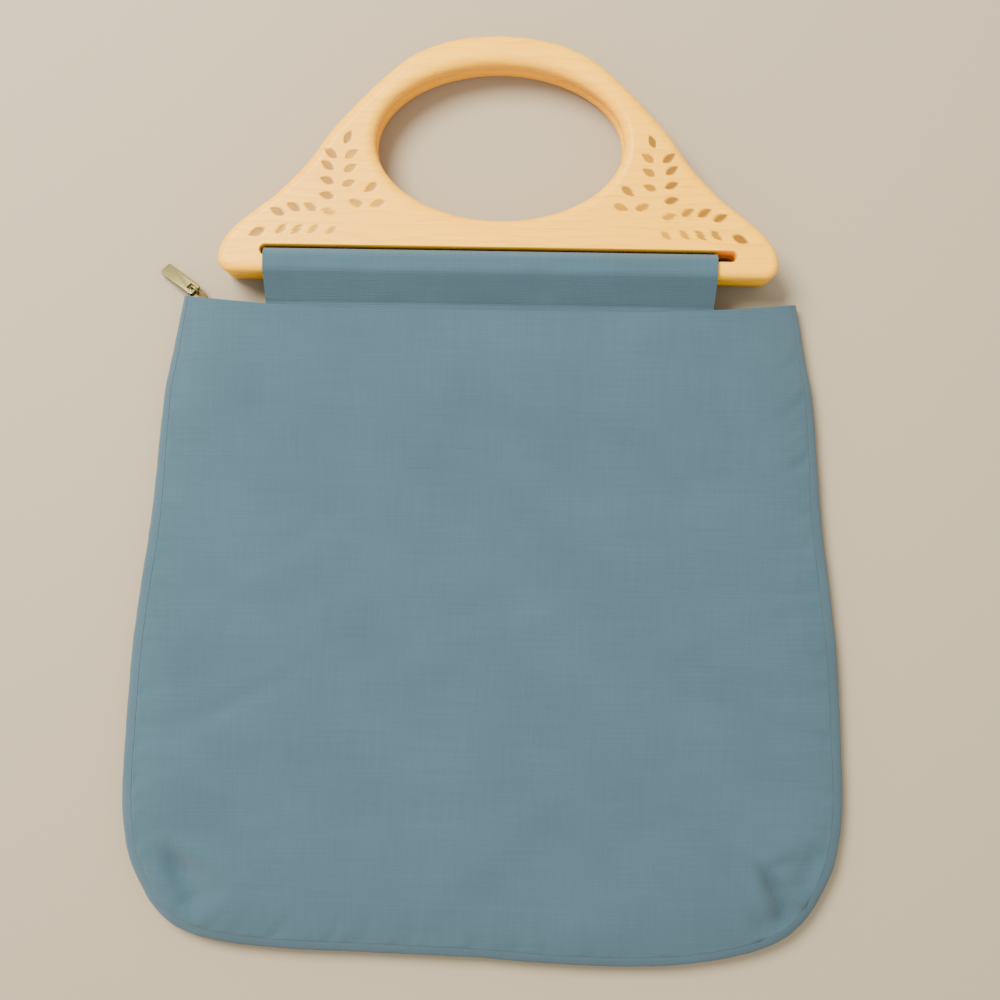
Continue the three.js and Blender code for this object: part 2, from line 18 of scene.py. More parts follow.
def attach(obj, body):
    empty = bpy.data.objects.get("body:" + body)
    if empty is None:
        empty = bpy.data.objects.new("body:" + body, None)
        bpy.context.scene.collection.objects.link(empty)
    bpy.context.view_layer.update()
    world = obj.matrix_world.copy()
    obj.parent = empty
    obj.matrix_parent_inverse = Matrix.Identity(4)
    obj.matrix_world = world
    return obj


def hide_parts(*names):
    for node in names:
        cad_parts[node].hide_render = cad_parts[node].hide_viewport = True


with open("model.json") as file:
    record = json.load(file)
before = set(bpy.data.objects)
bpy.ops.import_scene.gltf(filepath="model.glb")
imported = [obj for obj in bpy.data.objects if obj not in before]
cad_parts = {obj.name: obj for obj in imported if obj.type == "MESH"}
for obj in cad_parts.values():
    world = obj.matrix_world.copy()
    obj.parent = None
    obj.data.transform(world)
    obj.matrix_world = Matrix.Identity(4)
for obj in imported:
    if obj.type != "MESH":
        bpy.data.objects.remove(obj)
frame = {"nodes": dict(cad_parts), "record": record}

bl_info = {
    "name": "Wooden Handle Bag",
    "version": (1, 0, 0),
    "blender": (4, 5, 0),
    "location": "3D View > Sidebar > Handle Bag",
    "description": "Builds a cloth handbag with two wooden handles, lying on its back",
    "category": "Object",
}

# The pouch's own zero lies at the ends of the mouth, this far up the frame
POUCH_ZERO = (0.0, 0.102437, 0.0)
SEAT_GAP = 0.0003
SEAM_GAP = -0.00004  # the sewn edges press together here, closer than the solids do
HEM_MARGIN = 0.001  # the hem stays at the casings' height this far past their ends
TAIL_SET = 0.001  # how far over the hem's edge a casing's tail starts to slope
WRINKLE_COUNT = 30
RIPPLE_COUNT = 16
PUCKER_REACH = 0.011  # the puckers fade by this length in from the seam
PUCKER_START = 0.004  # and grow from nothing over this length beside it

# Half outline of the pouch from the mouth corner to the bottom's middle:
# out is a share of half the bag's width, down a share of its length
OUTLINE_ROWS = (
    {"out": 0.849, "down": 0},
    {"out": 0.876, "down": 0.08},
    {"out": 0.898, "down": 0.14},
    {"out": 0.914, "down": 0.23},
    {"out": 0.93, "down": 0.33},
    {"out": 0.958, "down": 0.442},
    {"out": 0.978, "down": 0.533},
    {"out": 0.992, "down": 0.65},
    {"out": 1.0, "down": 0.76},
    {"out": 0.985, "down": 0.838},
    {"out": 0.95, "down": 0.888},
    {"out": 0.9, "down": 0.932},
    {"out": 0.83, "down": 0.963},
    {"out": 0.7, "down": 0.985},
    {"out": 0.5, "down": 0.997},
    {"out": 0.22, "down": 0.999},
    {"out": 0, "down": 0.997},
)
CORNER_RUN = 0.65  # share of the half outline's length where its side turns into the bottom

# Rim of the back panel: down is the share of the way from the mouth to the bottom corner,
# reach and rise are shares of the rim's own reach and height
RIM_ROWS = (
    {"down": 0, "reach": 0.5, "rise": 0.92},
    {"down": 0.12, "reach": 0.7, "rise": 0.92},
    {"down": 0.4, "reach": 1, "rise": 1},
    {"down": 1, "reach": 1, "rise": 1},
)

# Height of the front's crown below the hem, as a share of the belly's height
CROWN_ROWS = (
    {"down": 0, "height": 1.04},
    {"down": 0.45, "height": 0.97},
    {"down": 0.7, "height": 1},
    {"down": 1, "height": 1.05},
)
HEM_FADE = 0.3  # share of the length over which the hem's height fades into the belly's

# Broad dents of the slack front: across and down are shares of half the bag's width and of its
# length, wide and long shares of its width, deep a share of the belly's height
DENT_ROWS = (
    {"across": -0.3, "down": 0.28, "wide": 0.2, "long": 0.1, "deep": 0.05},
    {"across": 0.32, "down": 0.42, "wide": 0.18, "long": 0.12, "deep": 0.06},
    {"across": -0.1, "down": 0.6, "wide": 0.24, "long": 0.11, "deep": 0.08},
    {"across": 0.42, "down": 0.74, "wide": 0.14, "long": 0.09, "deep": 0.06},
    {"across": -0.5, "down": 0.8, "wide": 0.13, "long": 0.08, "deep": 0.07},
)

# Creases of the front: ends as shares of half the bag's width and of its length, width a share of
# its width, deep a share of the belly's height, lip the side where the cloth stands up beside it
CREASE_ROWS = (
    {"from": (0.757, 0.839), "to": (0.870, 0.939), "width": 0.012, "deep": 0.44, "lip": -1},
    {"from": (0.868, 0.915), "to": (0.795, 0.958), "width": 0.028, "deep": 0.42, "lip": 1},
    {"from": (0.932, 0.808), "to": (0.904, 0.885), "width": 0.022, "deep": 0.34, "lip": 1},
    {"from": (0.777, 0.854), "to": (0.875, 0.838), "width": 0.012, "deep": 0.1, "lip": 1},
    {"from": (-0.875, 0.829), "to": (-0.784, 0.919), "width": 0.019, "deep": 0.42, "lip": 1},
    {"from": (-0.844, 0.840), "to": (-0.711, 0.900), "width": 0.018, "deep": 0.2, "lip": -1},
    {"from": (-0.936, 0.881), "to": (-0.880, 0.929), "width": 0.018, "deep": 0.16, "lip": 1},
)

# Half outline of a handle from the arch's top to the toe:
# out is a share of half its width, up a share of its height
HANDLE_ROWS = (
    {"out": 0, "up": 1},
    {"out": 0.121, "up": 0.988},
    {"out": 0.221, "up": 0.962},
    {"out": 0.328, "up": 0.905},
    {"out": 0.421, "up": 0.817},
    {"out": 0.506, "up": 0.72},
    {"out": 0.606, "up": 0.592},
    {"out": 0.684, "up": 0.463},
    {"out": 0.788, "up": 0.334},
    {"out": 0.856, "up": 0.27},
    {"out": 0.927, "up": 0.205},
    {"out": 0.978, "up": 0.139},
    {"out": 0.998, "up": 0.085},
)

# Leaves pressed into the right half of a handle's face: middle in metres from the handle's own
# axis and lower edge, the way the leaf points in degrees, its length in metres and its strength.
# The left half mirrors them a little fainter.
LEAF_ROWS = (
    {"x": 0.0749, "y": 0.0670, "turn": 115, "long": 0.0074, "deep": 1},
    {"x": 0.0729, "y": 0.0588, "turn": 146, "long": 0.0078, "deep": 0.8},
    {"x": 0.0832, "y": 0.0590, "turn": 38, "long": 0.008, "deep": 1},
    {"x": 0.0734, "y": 0.0517, "turn": 152, "long": 0.0076, "deep": 0.85},
    {"x": 0.0847, "y": 0.0529, "turn": 34, "long": 0.0078, "deep": 1},
    {"x": 0.0740, "y": 0.0441, "turn": 160, "long": 0.0072, "deep": 0.85},
    {"x": 0.0847, "y": 0.0454, "turn": 20, "long": 0.0076, "deep": 1},
    {"x": 0.0847, "y": 0.0379, "turn": 12, "long": 0.0078, "deep": 1},
    {"x": 0.1186, "y": 0.0192, "turn": -26, "long": 0.0086, "deep": 1},
    {"x": 0.1087, "y": 0.0296, "turn": 24, "long": 0.008, "deep": 1},
    {"x": 0.1008, "y": 0.0320, "turn": 28, "long": 0.008, "deep": 1},
    {"x": 0.0926, "y": 0.0321, "turn": 28, "long": 0.0076, "deep": 0.9},
    {"x": 0.0837, "y": 0.0299, "turn": 16, "long": 0.0074, "deep": 0.7},
    {"x": 0.1067, "y": 0.0209, "turn": -42, "long": 0.007, "deep": 0.85},
    {"x": 0.0991, "y": 0.0208, "turn": -42, "long": 0.007, "deep": 0.8},
    {"x": 0.0912, "y": 0.0209, "turn": -42, "long": 0.0066, "deep": 0.7},
    {"x": 0.0821, "y": 0.0205, "turn": -36, "long": 0.0064, "deep": 0.65},
    {"x": 0.0631, "y": 0.0422, "turn": -36, "long": 0.008, "deep": 0.9},
    {"x": 0.0598, "y": 0.0342, "turn": -18, "long": 0.0078, "deep": 0.75},
    {"x": 0.0705, "y": 0.0344, "turn": 22, "long": 0.0078, "deep": 0.8},
)
LEFT_LEAF_SHARE = 0.92


def length(name, default, description):
    """A length in metres, shown with its unit."""
    return FloatProperty(
        name=name, description=description, default=default, precision=4, unit="LENGTH"
    )


def angle(name, degrees, description):
    """An angle given in degrees and kept in radians."""
    return FloatProperty(
        name=name, description=description, default=math.radians(degrees), subtype="ANGLE"
    )


def from_hex(text):
    """Linear colour of an sRGB hex string such as 718F98."""
    srgb = [int(text[i : i + 2], 16) / 255 for i in (0, 2, 4)]
    return tuple(c / 12.92 if c <= 0.04045 else ((c + 0.055) / 1.055) ** 2.4 for c in srgb)


def colour(name, text, description):
    """A colour given as sRGB hex."""
    return FloatVectorProperty(
        name=name, description=description, default=from_hex(text), subtype="COLOR", min=0, max=1
    )


class PouchSettings(PropertyGroup):
    """Sizes and colours of the cloth pouch"""

    wall: length("Cloth", 0.0015, "Thickness of the two panels")
    width: length("Width", 0.364, "Widest place of the pouch")
    length: length("Length", 0.333, "From the ends of the mouth to the bottom edge")
    mouth_dip: length("Mouth Dip", 0.006, "How far the hem sags between its ends")
    bottom_lean: length("Bottom Lean", 0.01, "How far the bottom edge hangs lower on the right")
    belly: length("Belly", 0.015, "Height of the front panel off the floor")
    rim_reach: length("Rim Reach", 0.012, "Width of the rim's half round")
    rim_height: length("Rim Height", 0.013, "Height of the rim's half round")
    seam_angle: angle("Seam Angle", 58, "Where the seam runs on the rim, up from its widest line")
    dome_run: length("Dome Run", 0.026, "How far the front rises in from the seam")
    seam_roll: length("Seam Roll", 0.0008, "How far in the cloth rolls down at the seam")
    pucker: length("Pucker", 0.00042, "Height of the puckers along the seam")
    wrinkle: length("Wrinkle", 0.0007, "Height of the long soft wrinkles of the front")
    seed: IntProperty(name="Seed", description="Picks the wrinkles and puckers", default=7)
    thread: length("Thread", 0.0009, "Distance between the threads of the cloth")
    cloth: colour("Cloth Colour", "314850", "Middle tone of the grey-blue threads")
    pale_cloth: colour("Pale Threads", "375058", "Tone of the thick pale threads")
    # Painted shade: the tone that the gaps between the threads are darkened towards
    thread_gap_shade: colour("Dark Threads", "2C434A", "Tone between the threads")


class HandleSettings(PropertyGroup):
    """Sizes and colours of the two wooden handles"""

    width: length("Width", 0.276, "From toe to toe")
    height: length("Height", 0.1205, "From the lower edge to the top of the arch")
    thickness: length("Thickness", 0.012, "Thickness of the board")
    rounding: length("Rounding", 0.004, "Rounding of the bar and the toes")
    arch_rounding: length("Arch Rounding", 0.0058, "Rounding of the arch's outer edge")
    inner_rounding: length("Inner Rounding", 0.005, "Rounding of the hand opening")
    shift: length("Shift", 0.0039, "How far the handles lie to the right")
    toe_radius: length("Toe Radius", 0.007, "Radius of the toes seen from the front")
    opening_width: length("Opening Width", 0.123, "Width of the oval hand opening")
    arch_band: length("Arch Band", 0.0155, "Wood over the hand opening")
    bridge: length("Bridge", 0.0142, "Wood between the hand opening and the slot")
    bar: length("Bar", 0.0082, "Height of the bar under the slot")
    slot_height: length("Slot Height", 0.005, "Height of the slot for the cloth")
    slot_width: length("Slot Width", 0.234, "Width of the slot for the cloth")
    leaf_depth: length("Leaf Depth", 0.0003, "Depth of the pressed leaves")
    wood: colour("Wood", "EAA004", "Middle tone of the varnished wood")
    pale_wood: colour("Pale Wood", "F6B410", "Tone of the pale early wood")
    dark_wood: colour("Dark Wood", "BC7604", "Tone of the grain lines")
    burnt: colour("Burnt Leaves", "552E04", "Tone in the pressed leaves")


class CasingSettings(PropertyGroup):
    """Sizes of the two cloth tabs that hold the bars"""

    wall: length("Cloth", 0.0012, "Thickness of the casings' cloth")
    width: length("Width", 0.223, "Width of a casing along the bar")
    slack: length("Slack", 0.0006, "Room between the bar and the cloth")
    crest_gap: length("Crest Gap", 0.0004, "Room left in the slot over the cloth")
    bar_to_hem: length("Bar To Hem", 0.01575, "From the middle of the hem to the bar")
    tail: length("Tail", 0.012, "How far the casing runs in behind the hem")
    ripple: length("Ripple", 0.00035, "Height of the slack ripples between bar and hem")


class ZipSettings(PropertyGroup):
    """Sizes and colours of the zip"""

    tape: length("Tape", 0.0008, "Thickness of the tape")
    web_recess: length("Web Recess", 0.003, "How far the tape lies behind the hems")
    web_ease: length("Web Ease", 0.006, "Length over which the tape widens past the casings")
    flange: length("Flange", 0.006, "Width of the tape's sewn edges")
    teeth_width: length("Teeth Width", 0.0044, "Width of the closed row of teeth")
    teeth_height: length("Teeth Height", 0.0014, "Height of the teeth")
    teeth_gap: length("Teeth Gap", 0.00045, "Room between the teeth and the tape")
    teeth_pitch: length("Teeth Pitch", 0.0015, "Distance from one tooth to the next")
    slider_length: length("Slider Length", 0.009, "Length of the slider")
    slider_plate: length("Slider Plate", 0.001, "Thickness of the slider's plates")
    slider_channel: length("Slider Channel", 0.002, "Room between the slider's plates")
    bail_radius: length("Bail Radius", 0.0024, "Radius of the bail's arch")
    bail_wire: length("Bail Wire", 0.0013, "Thickness of the bail")
    edge: length("Edge", 0.00025, "Rounding of the metal edges")
    yaw: angle("Yaw", 139, "Direction of the slider, from +X")
    roll: angle("Roll", 20, "How far the slider leans over")
    tape_colour: colour("Tape Colour", "5A7681", "Tone of the zip's tape")
    brass: colour("Brass", "7E7243", "Pale antique brass")
    worn_brass: colour("Worn Brass", "8C8159", "Tone of the paler worn patches")


class StageSettings(PropertyGroup):
    """Camera, floor and lights"""

    camera_height: length("Camera Height", 0.75, "Height of the camera over the floor")
    camera_x: length("Camera X", 0.0066, "Place of the camera across")
    camera_y: length("Camera Y", 0.0018, "Place of the camera along the bag")
    camera_roll: angle("Camera Roll", 0.9, "Turn of the camera round its view")
    lens: FloatProperty(
        name="Lens", description="Focal length", default=52.94, min=1, unit="CAMERA"
    )
    floor: colour("Floor", "998B71", "Tone of the plain floor")
    key_power: FloatProperty(
        name="Key Light", description="Power of the large soft light", default=64, unit="POWER"
    )
    fill: FloatProperty(name="Fill", description="Strength of the even light", default=1.5)


def eased(value, low=0.0, high=1.0):
    """Smooth step: 0 at low, 1 at high, 3t^2 - 2t^3 between them."""
    t = np.clip((value - low) / (high - low), 0, 1)
    return t * t * (3 - 2 * t)


def mix(a, b, share):
    """a at share 0 and b at share 1, in a straight line."""
    return a + (b - a) * share


def table_at(table, column, down):
    """A column of a table at down, eased between its rows so that it has no kinks."""
    places = np.array([row["down"] for row in table], float)
    values = np.array([row[column] for row in table], float)
    down = np.clip(down, places[0], places[-1])
    after = np.clip(np.searchsorted(places, down), 1, len(places) - 1)
    t = eased((down - places[after - 1]) / (places[after] - places[after - 1]))
    return mix(values[after - 1], values[after], t)


def spline(points, count):
    """count points along a uniform Catmull-Rom spline: each span is the cubic through its two
    ends whose slope at an end is half the step between that end's neighbours."""
    points = np.asarray(points, float)
    last = len(points) - 1
    place = np.linspace(0, last, count)
    i = np.minimum(place.astype(int), last - 1)
    t = (place - i)[:, None]
    before, start, end, after = (points[np.clip(i + k, 0, last)] for k in (-1, 0, 1, 2))
    leave, arrive = (end - before) / 2, (after - start) / 2
    cubic = 2 * start - 2 * end + leave + arrive
    square = -3 * start + 3 * end - 2 * leave - arrive
    return cubic * t**3 + square * t**2 + leave * t + start


def along(points):
    """Length along a line of points, from 0 at its first."""
    steps = np.linalg.norm(np.diff(points, axis=0), axis=1)
    return np.concatenate([[0], np.cumsum(steps)])


def unit(vectors):
    """Vectors of length 1."""
    return vectors / np.linalg.norm(vectors, axis=-1, keepdims=True)


def mixed_shares(count, easing=0.6):
    """Shares from 0 to 1, part even and part closer together near both ends."""
    even = np.linspace(0, 1, count + 1)
    return mix(even, 0.5 - 0.5 * np.cos(np.pi * even), easing)


def outline_at(pouch, run):
    """Place and direction on the pouch's half outline, at a share of its length."""
    dense = spline([(row["out"], -row["down"]) for row in OUTLINE_ROWS], 4001)
    dense = dense * (pouch.width / 2, pouch.length)
    shares = along(dense)
    shares /= shares[-1]
    heading = unit(np.gradient(dense, shares, axis=0))
    place = np.stack([np.interp(run, shares, dense[:, k]) for k in (0, 1)], -1)
    return place, unit(np.stack([np.interp(run, shares, heading[:, k]) for k in (0, 1)], -1))


def rim_size(pouch, run):
    """Reach and half height of the rim's round at a share of the half outline."""
    down = np.minimum(run / CORNER_RUN, 1)
    reach = pouch.rim_reach * table_at(RIM_ROWS, "reach", down)
    return reach, pouch.rim_height * table_at(RIM_ROWS, "rise", down) / 2


def rim_point(pouch, side, run, turn):
    """The rim's outer face: a half ellipse stood on the outline and turned inwards from its
    widest line. turn goes from -90 degrees on the floor past 0 at the widest."""
    side, run, turn = np.broadcast_arrays(side, np.asarray(run, float), turn)
    reach, rise = rim_size(pouch, run)
    edge, heading = outline_at(pouch, run)
    inset = reach * (1 - np.cos(turn))
    across = side * edge[..., 0] / (pouch.width / 2)
    lean = pouch.bottom_lean * across * (1 - across**2) ** 2
    lean = lean * eased(run, 0.5 * CORNER_RUN, CORNER_RUN)
    x = side * (edge[..., 0] + heading[..., 1] * inset)
    y = edge[..., 1] - heading[..., 0] * inset - lean
    return np.stack([x, y, rise * (1 + np.sin(turn))], -1)


def past_seam(pouch, run, distance):
    """The angle on the rim that lies a given distance past the seam."""
    reach, rise = rim_size(pouch, np.asarray(run, float))
    per_radian = np.hypot(
        reach * math.sin(pouch.seam_angle), rise * math.cos(pouch.seam_angle)
    )
    return pouch.seam_angle + distance / per_radian


def fill_patch(pouch, across, down, at):
    """A Coons patch between the mouth line, the two sides and the bottom: the sides blended
    across, plus top and bottom blended down, less the four corners blended both ways."""
    share = across[..., None]
    fall = down[..., None]
    sides = mix(at(-1, down * CORNER_RUN), at(1, down * CORNER_RUN), share)
    zero = np.zeros_like(down)
    high = mix(at(-1, zero), at(1, zero), share)
    low = mix(at(-1, zero + CORNER_RUN), at(1, zero + CORNER_RUN), share)
    top = high.copy()
    top[..., 1] -= pouch.mouth_dip * (1 - (2 * across - 1) ** 4)
    away = np.abs(2 * across - 1)
    bottom = at(np.where(across < 0.5, -1, 1), 1 - away * (1 - CORNER_RUN))
    return sides + mix(top, bottom, fall) - mix(high, low, fall)


def mouth_corner(pouch):
    """The front panel's corner at the right end of the mouth."""
    return rim_point(pouch, 1, 0, past_seam(pouch, 0, SEAT_GAP / 2))


def mouth_y(pouch, x):
    """The hem's line across the mouth: a shallow quartic sag between its ends."""
    corner = mouth_corner(pouch)
    return corner[1] - pouch.mouth_dip * (1 - (x / corner[0]) ** 4)


def rising(distance, run):
    """Share of the full rise at a distance in from a seam: a parabola that levels out."""
    return 1 - (1 - np.clip(distance / run, 0, 1)) ** 2


def stack_heights(pouch, casing, handle):
    """Heights of the stack at the hems, from the floor up."""
    depth = 2 * (casing.wall + casing.slack) + handle.thickness
    front = depth + SEAT_GAP
    return {
        "casing_depth": depth,
        "front_casing": front,
        "back_bar": casing.wall + casing.slack,
        "front_bar": front + casing.wall + casing.slack,
        "tail": 2 * casing.wall,
        "back_tail": pouch.wall + SEAT_GAP,
        "hem": front + 2 * casing.wall + SEAT_GAP + pouch.wall,
    }


def dents_at(pouch, x, y):
    """Depth of the broad dents: a Gaussian well for each row."""
    deep = np.zeros_like(x)
    for row in DENT_ROWS:
        u = (x - row["across"] * pouch.width / 2) / (row["wide"] * pouch.width)
        v = (y + row["down"] * pouch.length) / (row["long"] * pouch.width)
        deep += row["deep"] * np.exp(-u * u - v * v)
    return deep * pouch.belly


def creases_at(pouch, x, y):
    """Depth of the creases. Each is a valley along its segment that starts as a fine line and
    widens towards the seam, exp(-(v/w)^2) across, with a lower ridge beside it."""
    deep = np.zeros_like(x)
    size = np.array([pouch.width / 2, -pouch.length])
    place = np.stack([x, y], -1)
    for row in CREASE_ROWS:
        start, end = np.array(row["from"]) * size, np.array(row["to"]) * size
        run = end - start
        reach = np.linalg.norm(run)
        t = ((place - start) @ run) / reach**2
        v = ((place - start) @ np.array([-run[1], run[0]])) / reach * row["lip"]
        wide = row["width"] * pouch.width * (0.7 + 0.5 * np.clip(t, 0, 1))
        valley = np.exp(-((v / wide) ** 2)) - 0.3 * np.exp(-((v / wide / 1.3 - 1.5) ** 2))
        deep += row["deep"] * valley * eased(t, -0.1, 0.5) * (1 - eased(t, 0.85, 1.25))
    return deep * pouch.belly


def wrinkles_at(pouch, x, y):
    """Height of the long soft wrinkles: each a Gaussian ridge across and along its own line."""
    chance = np.random.default_rng(pouch.seed)
    high = np.zeros_like(x)
    for _ in range(WRINKLE_COUNT):
        middle = chance.uniform((-0.46, -0.96), (0.46, -0.12)) * (pouch.width, pouch.length)
        slant = chance.normal(0, 0.55)
        wide = chance.uniform(0.004, 0.011)
        long = chance.uniform(0.03, 0.075)
        sign = chance.choice((-1, 1)) * chance.uniform(0.3, 1)
        u = (x - middle[0]) * math.cos(slant) + (y - middle[1]) * math.sin(slant)
        v = (y - middle[1]) * math.cos(slant) - (x - middle[0]) * math.sin(slant)
        high += sign * np.exp(-((u / long) ** 2) - (v / wide) ** 2)
    return high * pouch.wrinkle


def puckers_at(pouch, x, y, seed):
    """Waves along the seam, from the place's angle round the pouch: sines of four lengths."""
    chance = np.random.default_rng(seed)
    round_length = np.arctan2(y + 0.5 * pouch.length, x) * 0.5 * pouch.width
    waves = np.zeros_like(x)
    for wave_length in (0.0085, 0.0131, 0.021, 0.037):
        strength, phase = chance.uniform(0.5, 1), chance.uniform(0, 2 * math.pi)
        waves += strength * np.sin(2 * math.pi * round_length / wave_length + phase)
    return waves * pouch.pucker


def front_face(pouch, casing, handle, across, down):
    """The front panel's outer face over its patch. It stands on the seam, rises by a parabola
    to the belly's crown, and eases up to the stack of casings at the hem."""
    hem_flat = casing.tail / pouch.length

    def seam(side, run):
        return rim_point(pouch, side, run, past_seam(pouch, run, SEAM_GAP / 2))

    points = fill_patch(pouch, across, down, seam)
    x, y = points[..., 0], points[..., 1]
    at_hem = 1 - eased(down, hem_flat, HEM_FADE)
    crown = pouch.belly * table_at(CROWN_ROWS, "height", down)
    crown = mix(crown, stack_heights(pouch, casing, handle)["hem"], at_hem)
    mouth_run = mouth_corner(pouch)[0] - casing.width / 2 - HEM_MARGIN
    run = mix(pouch.dome_run, mouth_run, at_hem)
    from_side = pouch.width / 2 * (1 - np.abs(2 * across - 1))
    from_bottom = (1 - down) * pouch.length
    share = rising(from_side, run) * rising(from_bottom, pouch.dome_run)
    slack = share * (1 - at_hem)
    z = mix(seam(1, down * CORNER_RUN)[..., 2], crown, share)
    z += slack * (wrinkles_at(pouch, x, y) - dents_at(pouch, x, y) - creases_at(pouch, x, y))
    nearest = np.minimum(from_side, from_bottom)
    held = np.exp(-nearest / PUCKER_REACH) * eased(nearest, 0, PUCKER_START)
    held = held * eased(down, 0.03, 0.12)
    z += held * puckers_at(pouch, x, y, pouch.seed + 1)
    roll = np.clip(1 - nearest / pouch.seam_roll, 0, 1)
    z -= pouch.seam_roll * 0.45 * (1 - np.sqrt(1 - roll**2))
    points[..., 2] = z
    return points


def mesh_object(name, points, faces, uvs=None):
    """A mesh of points and faces moved into the frame, with a weave map in metres."""
    mesh = bpy.data.meshes.new(name)
    mesh.from_pydata((points.reshape(-1, 3) + POUCH_ZERO).tolist(), [], faces.tolist())
    if uvs is not None:
        corners = np.empty(len(mesh.loops), np.int32)
        mesh.loops.foreach_get("vertex_index", corners)
        layer = mesh.uv_layers.new(name="weave")
        layer.data.foreach_set("uv", uvs.reshape(-1, 2)[corners].astype(np.float32).ravel())
    obj = bpy.data.objects.new(name, mesh)
    bpy.context.scene.collection.objects.link(obj)
    return obj


def grid_faces(rows, columns, close_rows=False, close_columns=False):
    """Quads of a grid whose points run row by row, closed on itself where asked."""
    r = np.arange(rows if close_rows else rows - 1)[:, None]
    c = np.arange(columns if close_columns else columns - 1)[None, :]
    r_next, c_next = (r + 1) % rows, (c + 1) % columns
    row, row_next = r * columns, r_next * columns
    corners = (row + c, row + c_next, row_next + c_next, row_next + c)
    return np.stack(np.broadcast_arrays(*corners), -1).reshape(-1, 4)


def apply_modifiers(obj):
    """Bakes the object's modifiers into its mesh."""
    graph = bpy.context.evaluated_depsgraph_get()
    made = bpy.data.meshes.new_from_object(obj.evaluated_get(graph), depsgraph=graph)
    old = obj.data
    obj.modifiers.clear()
    obj.data = made
    made.name = obj.name
    bpy.data.meshes.remove(old)


def merge(obj, distance=1e-6):
    """Joins the points of a mesh that coincide."""
    work = bmesh.new()
    work.from_mesh(obj.data)
    bmesh.ops.remove_doubles(work, verts=work.verts, dist=distance)
    work.to_mesh(obj.data)
    work.free()


def thicken(obj, wall):
    """Gives a sheet its wall, inwards from the face that shows."""
    solid = obj.modifiers.new("wall", "SOLIDIFY")
    solid.thickness = wall
    solid.offset = -1
    solid.use_even_offset = True
    apply_modifiers(obj)


def smooth(obj, degrees):
    """Smooth shading, with edges sharper than the angle left crisp."""
    obj.data.shade_smooth()
    obj.data.set_sharp_from_angle(angle=math.radians(degrees))


def finish_piece(obj, body, material, nodes):
    """Gives a piece its material and its place in the model under its body, and hides the CAD
    nodes that it replaces.
    """
    obj.data.materials.clear()
    obj.data.materials.append(material)
    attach(obj, body)
    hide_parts(*nodes)


def add_node(tree, kind, inputs=None, **settings):
    """A node with its settings, and its inputs set to values or linked to sockets."""
    node = tree.nodes.new(kind)
    node.location = (200 * (len(tree.nodes) % 12), -300 * (len(tree.nodes) // 12))
    for name, value in settings.items():
        setattr(node, name, value)
    for key, value in (inputs or {}).items():
        if isinstance(value, bpy.types.NodeSocket):
            tree.links.new(value, node.inputs[key])
        else:
            node.inputs[key].default_value = value
    return node


def new_material(name):
    """An empty material with its shader and output: returns both and the node tree."""
    material = bpy.data.materials.new(name)
    material.use_nodes = True
    tree = material.node_tree
    tree.nodes.clear()
    shader = add_node(tree, "ShaderNodeBsdfPrincipled")
    add_node(tree, "ShaderNodeOutputMaterial", {"Surface": shader.outputs["BSDF"]})
    return material, tree, shader


def maths(tree, operation, *values):
    """A Math node's result."""
    inputs = dict(enumerate(values))
    return add_node(tree, "ShaderNodeMath", inputs, operation=operation).outputs[0]


def blend_colour(tree, share, a, b):
    """Colour a at share 0 and b at share 1."""
    inputs = {"Factor": share, 6: (*a, 1) if isinstance(a, tuple) else a}
    inputs[7] = (*b, 1) if isinstance(b, tuple) else b
    return add_node(tree, "ShaderNodeMix", inputs, data_type="RGBA").outputs[2]


def stretched_noise(tree, vector, long, wide, detail=3.0):
    """Noise whose cells are long by wide metres on the vector's two axes."""
    scale = (1 / long, 1 / wide, 1 / wide)
    placed = add_node(tree, "ShaderNodeMapping", {"Vector": vector, "Scale": scale})
    inputs = {"Vector": placed.outputs[0], "Scale": 1.0, "Detail": detail}
    return add_node(tree, "ShaderNodeTexNoise", inputs).outputs["Fac"]


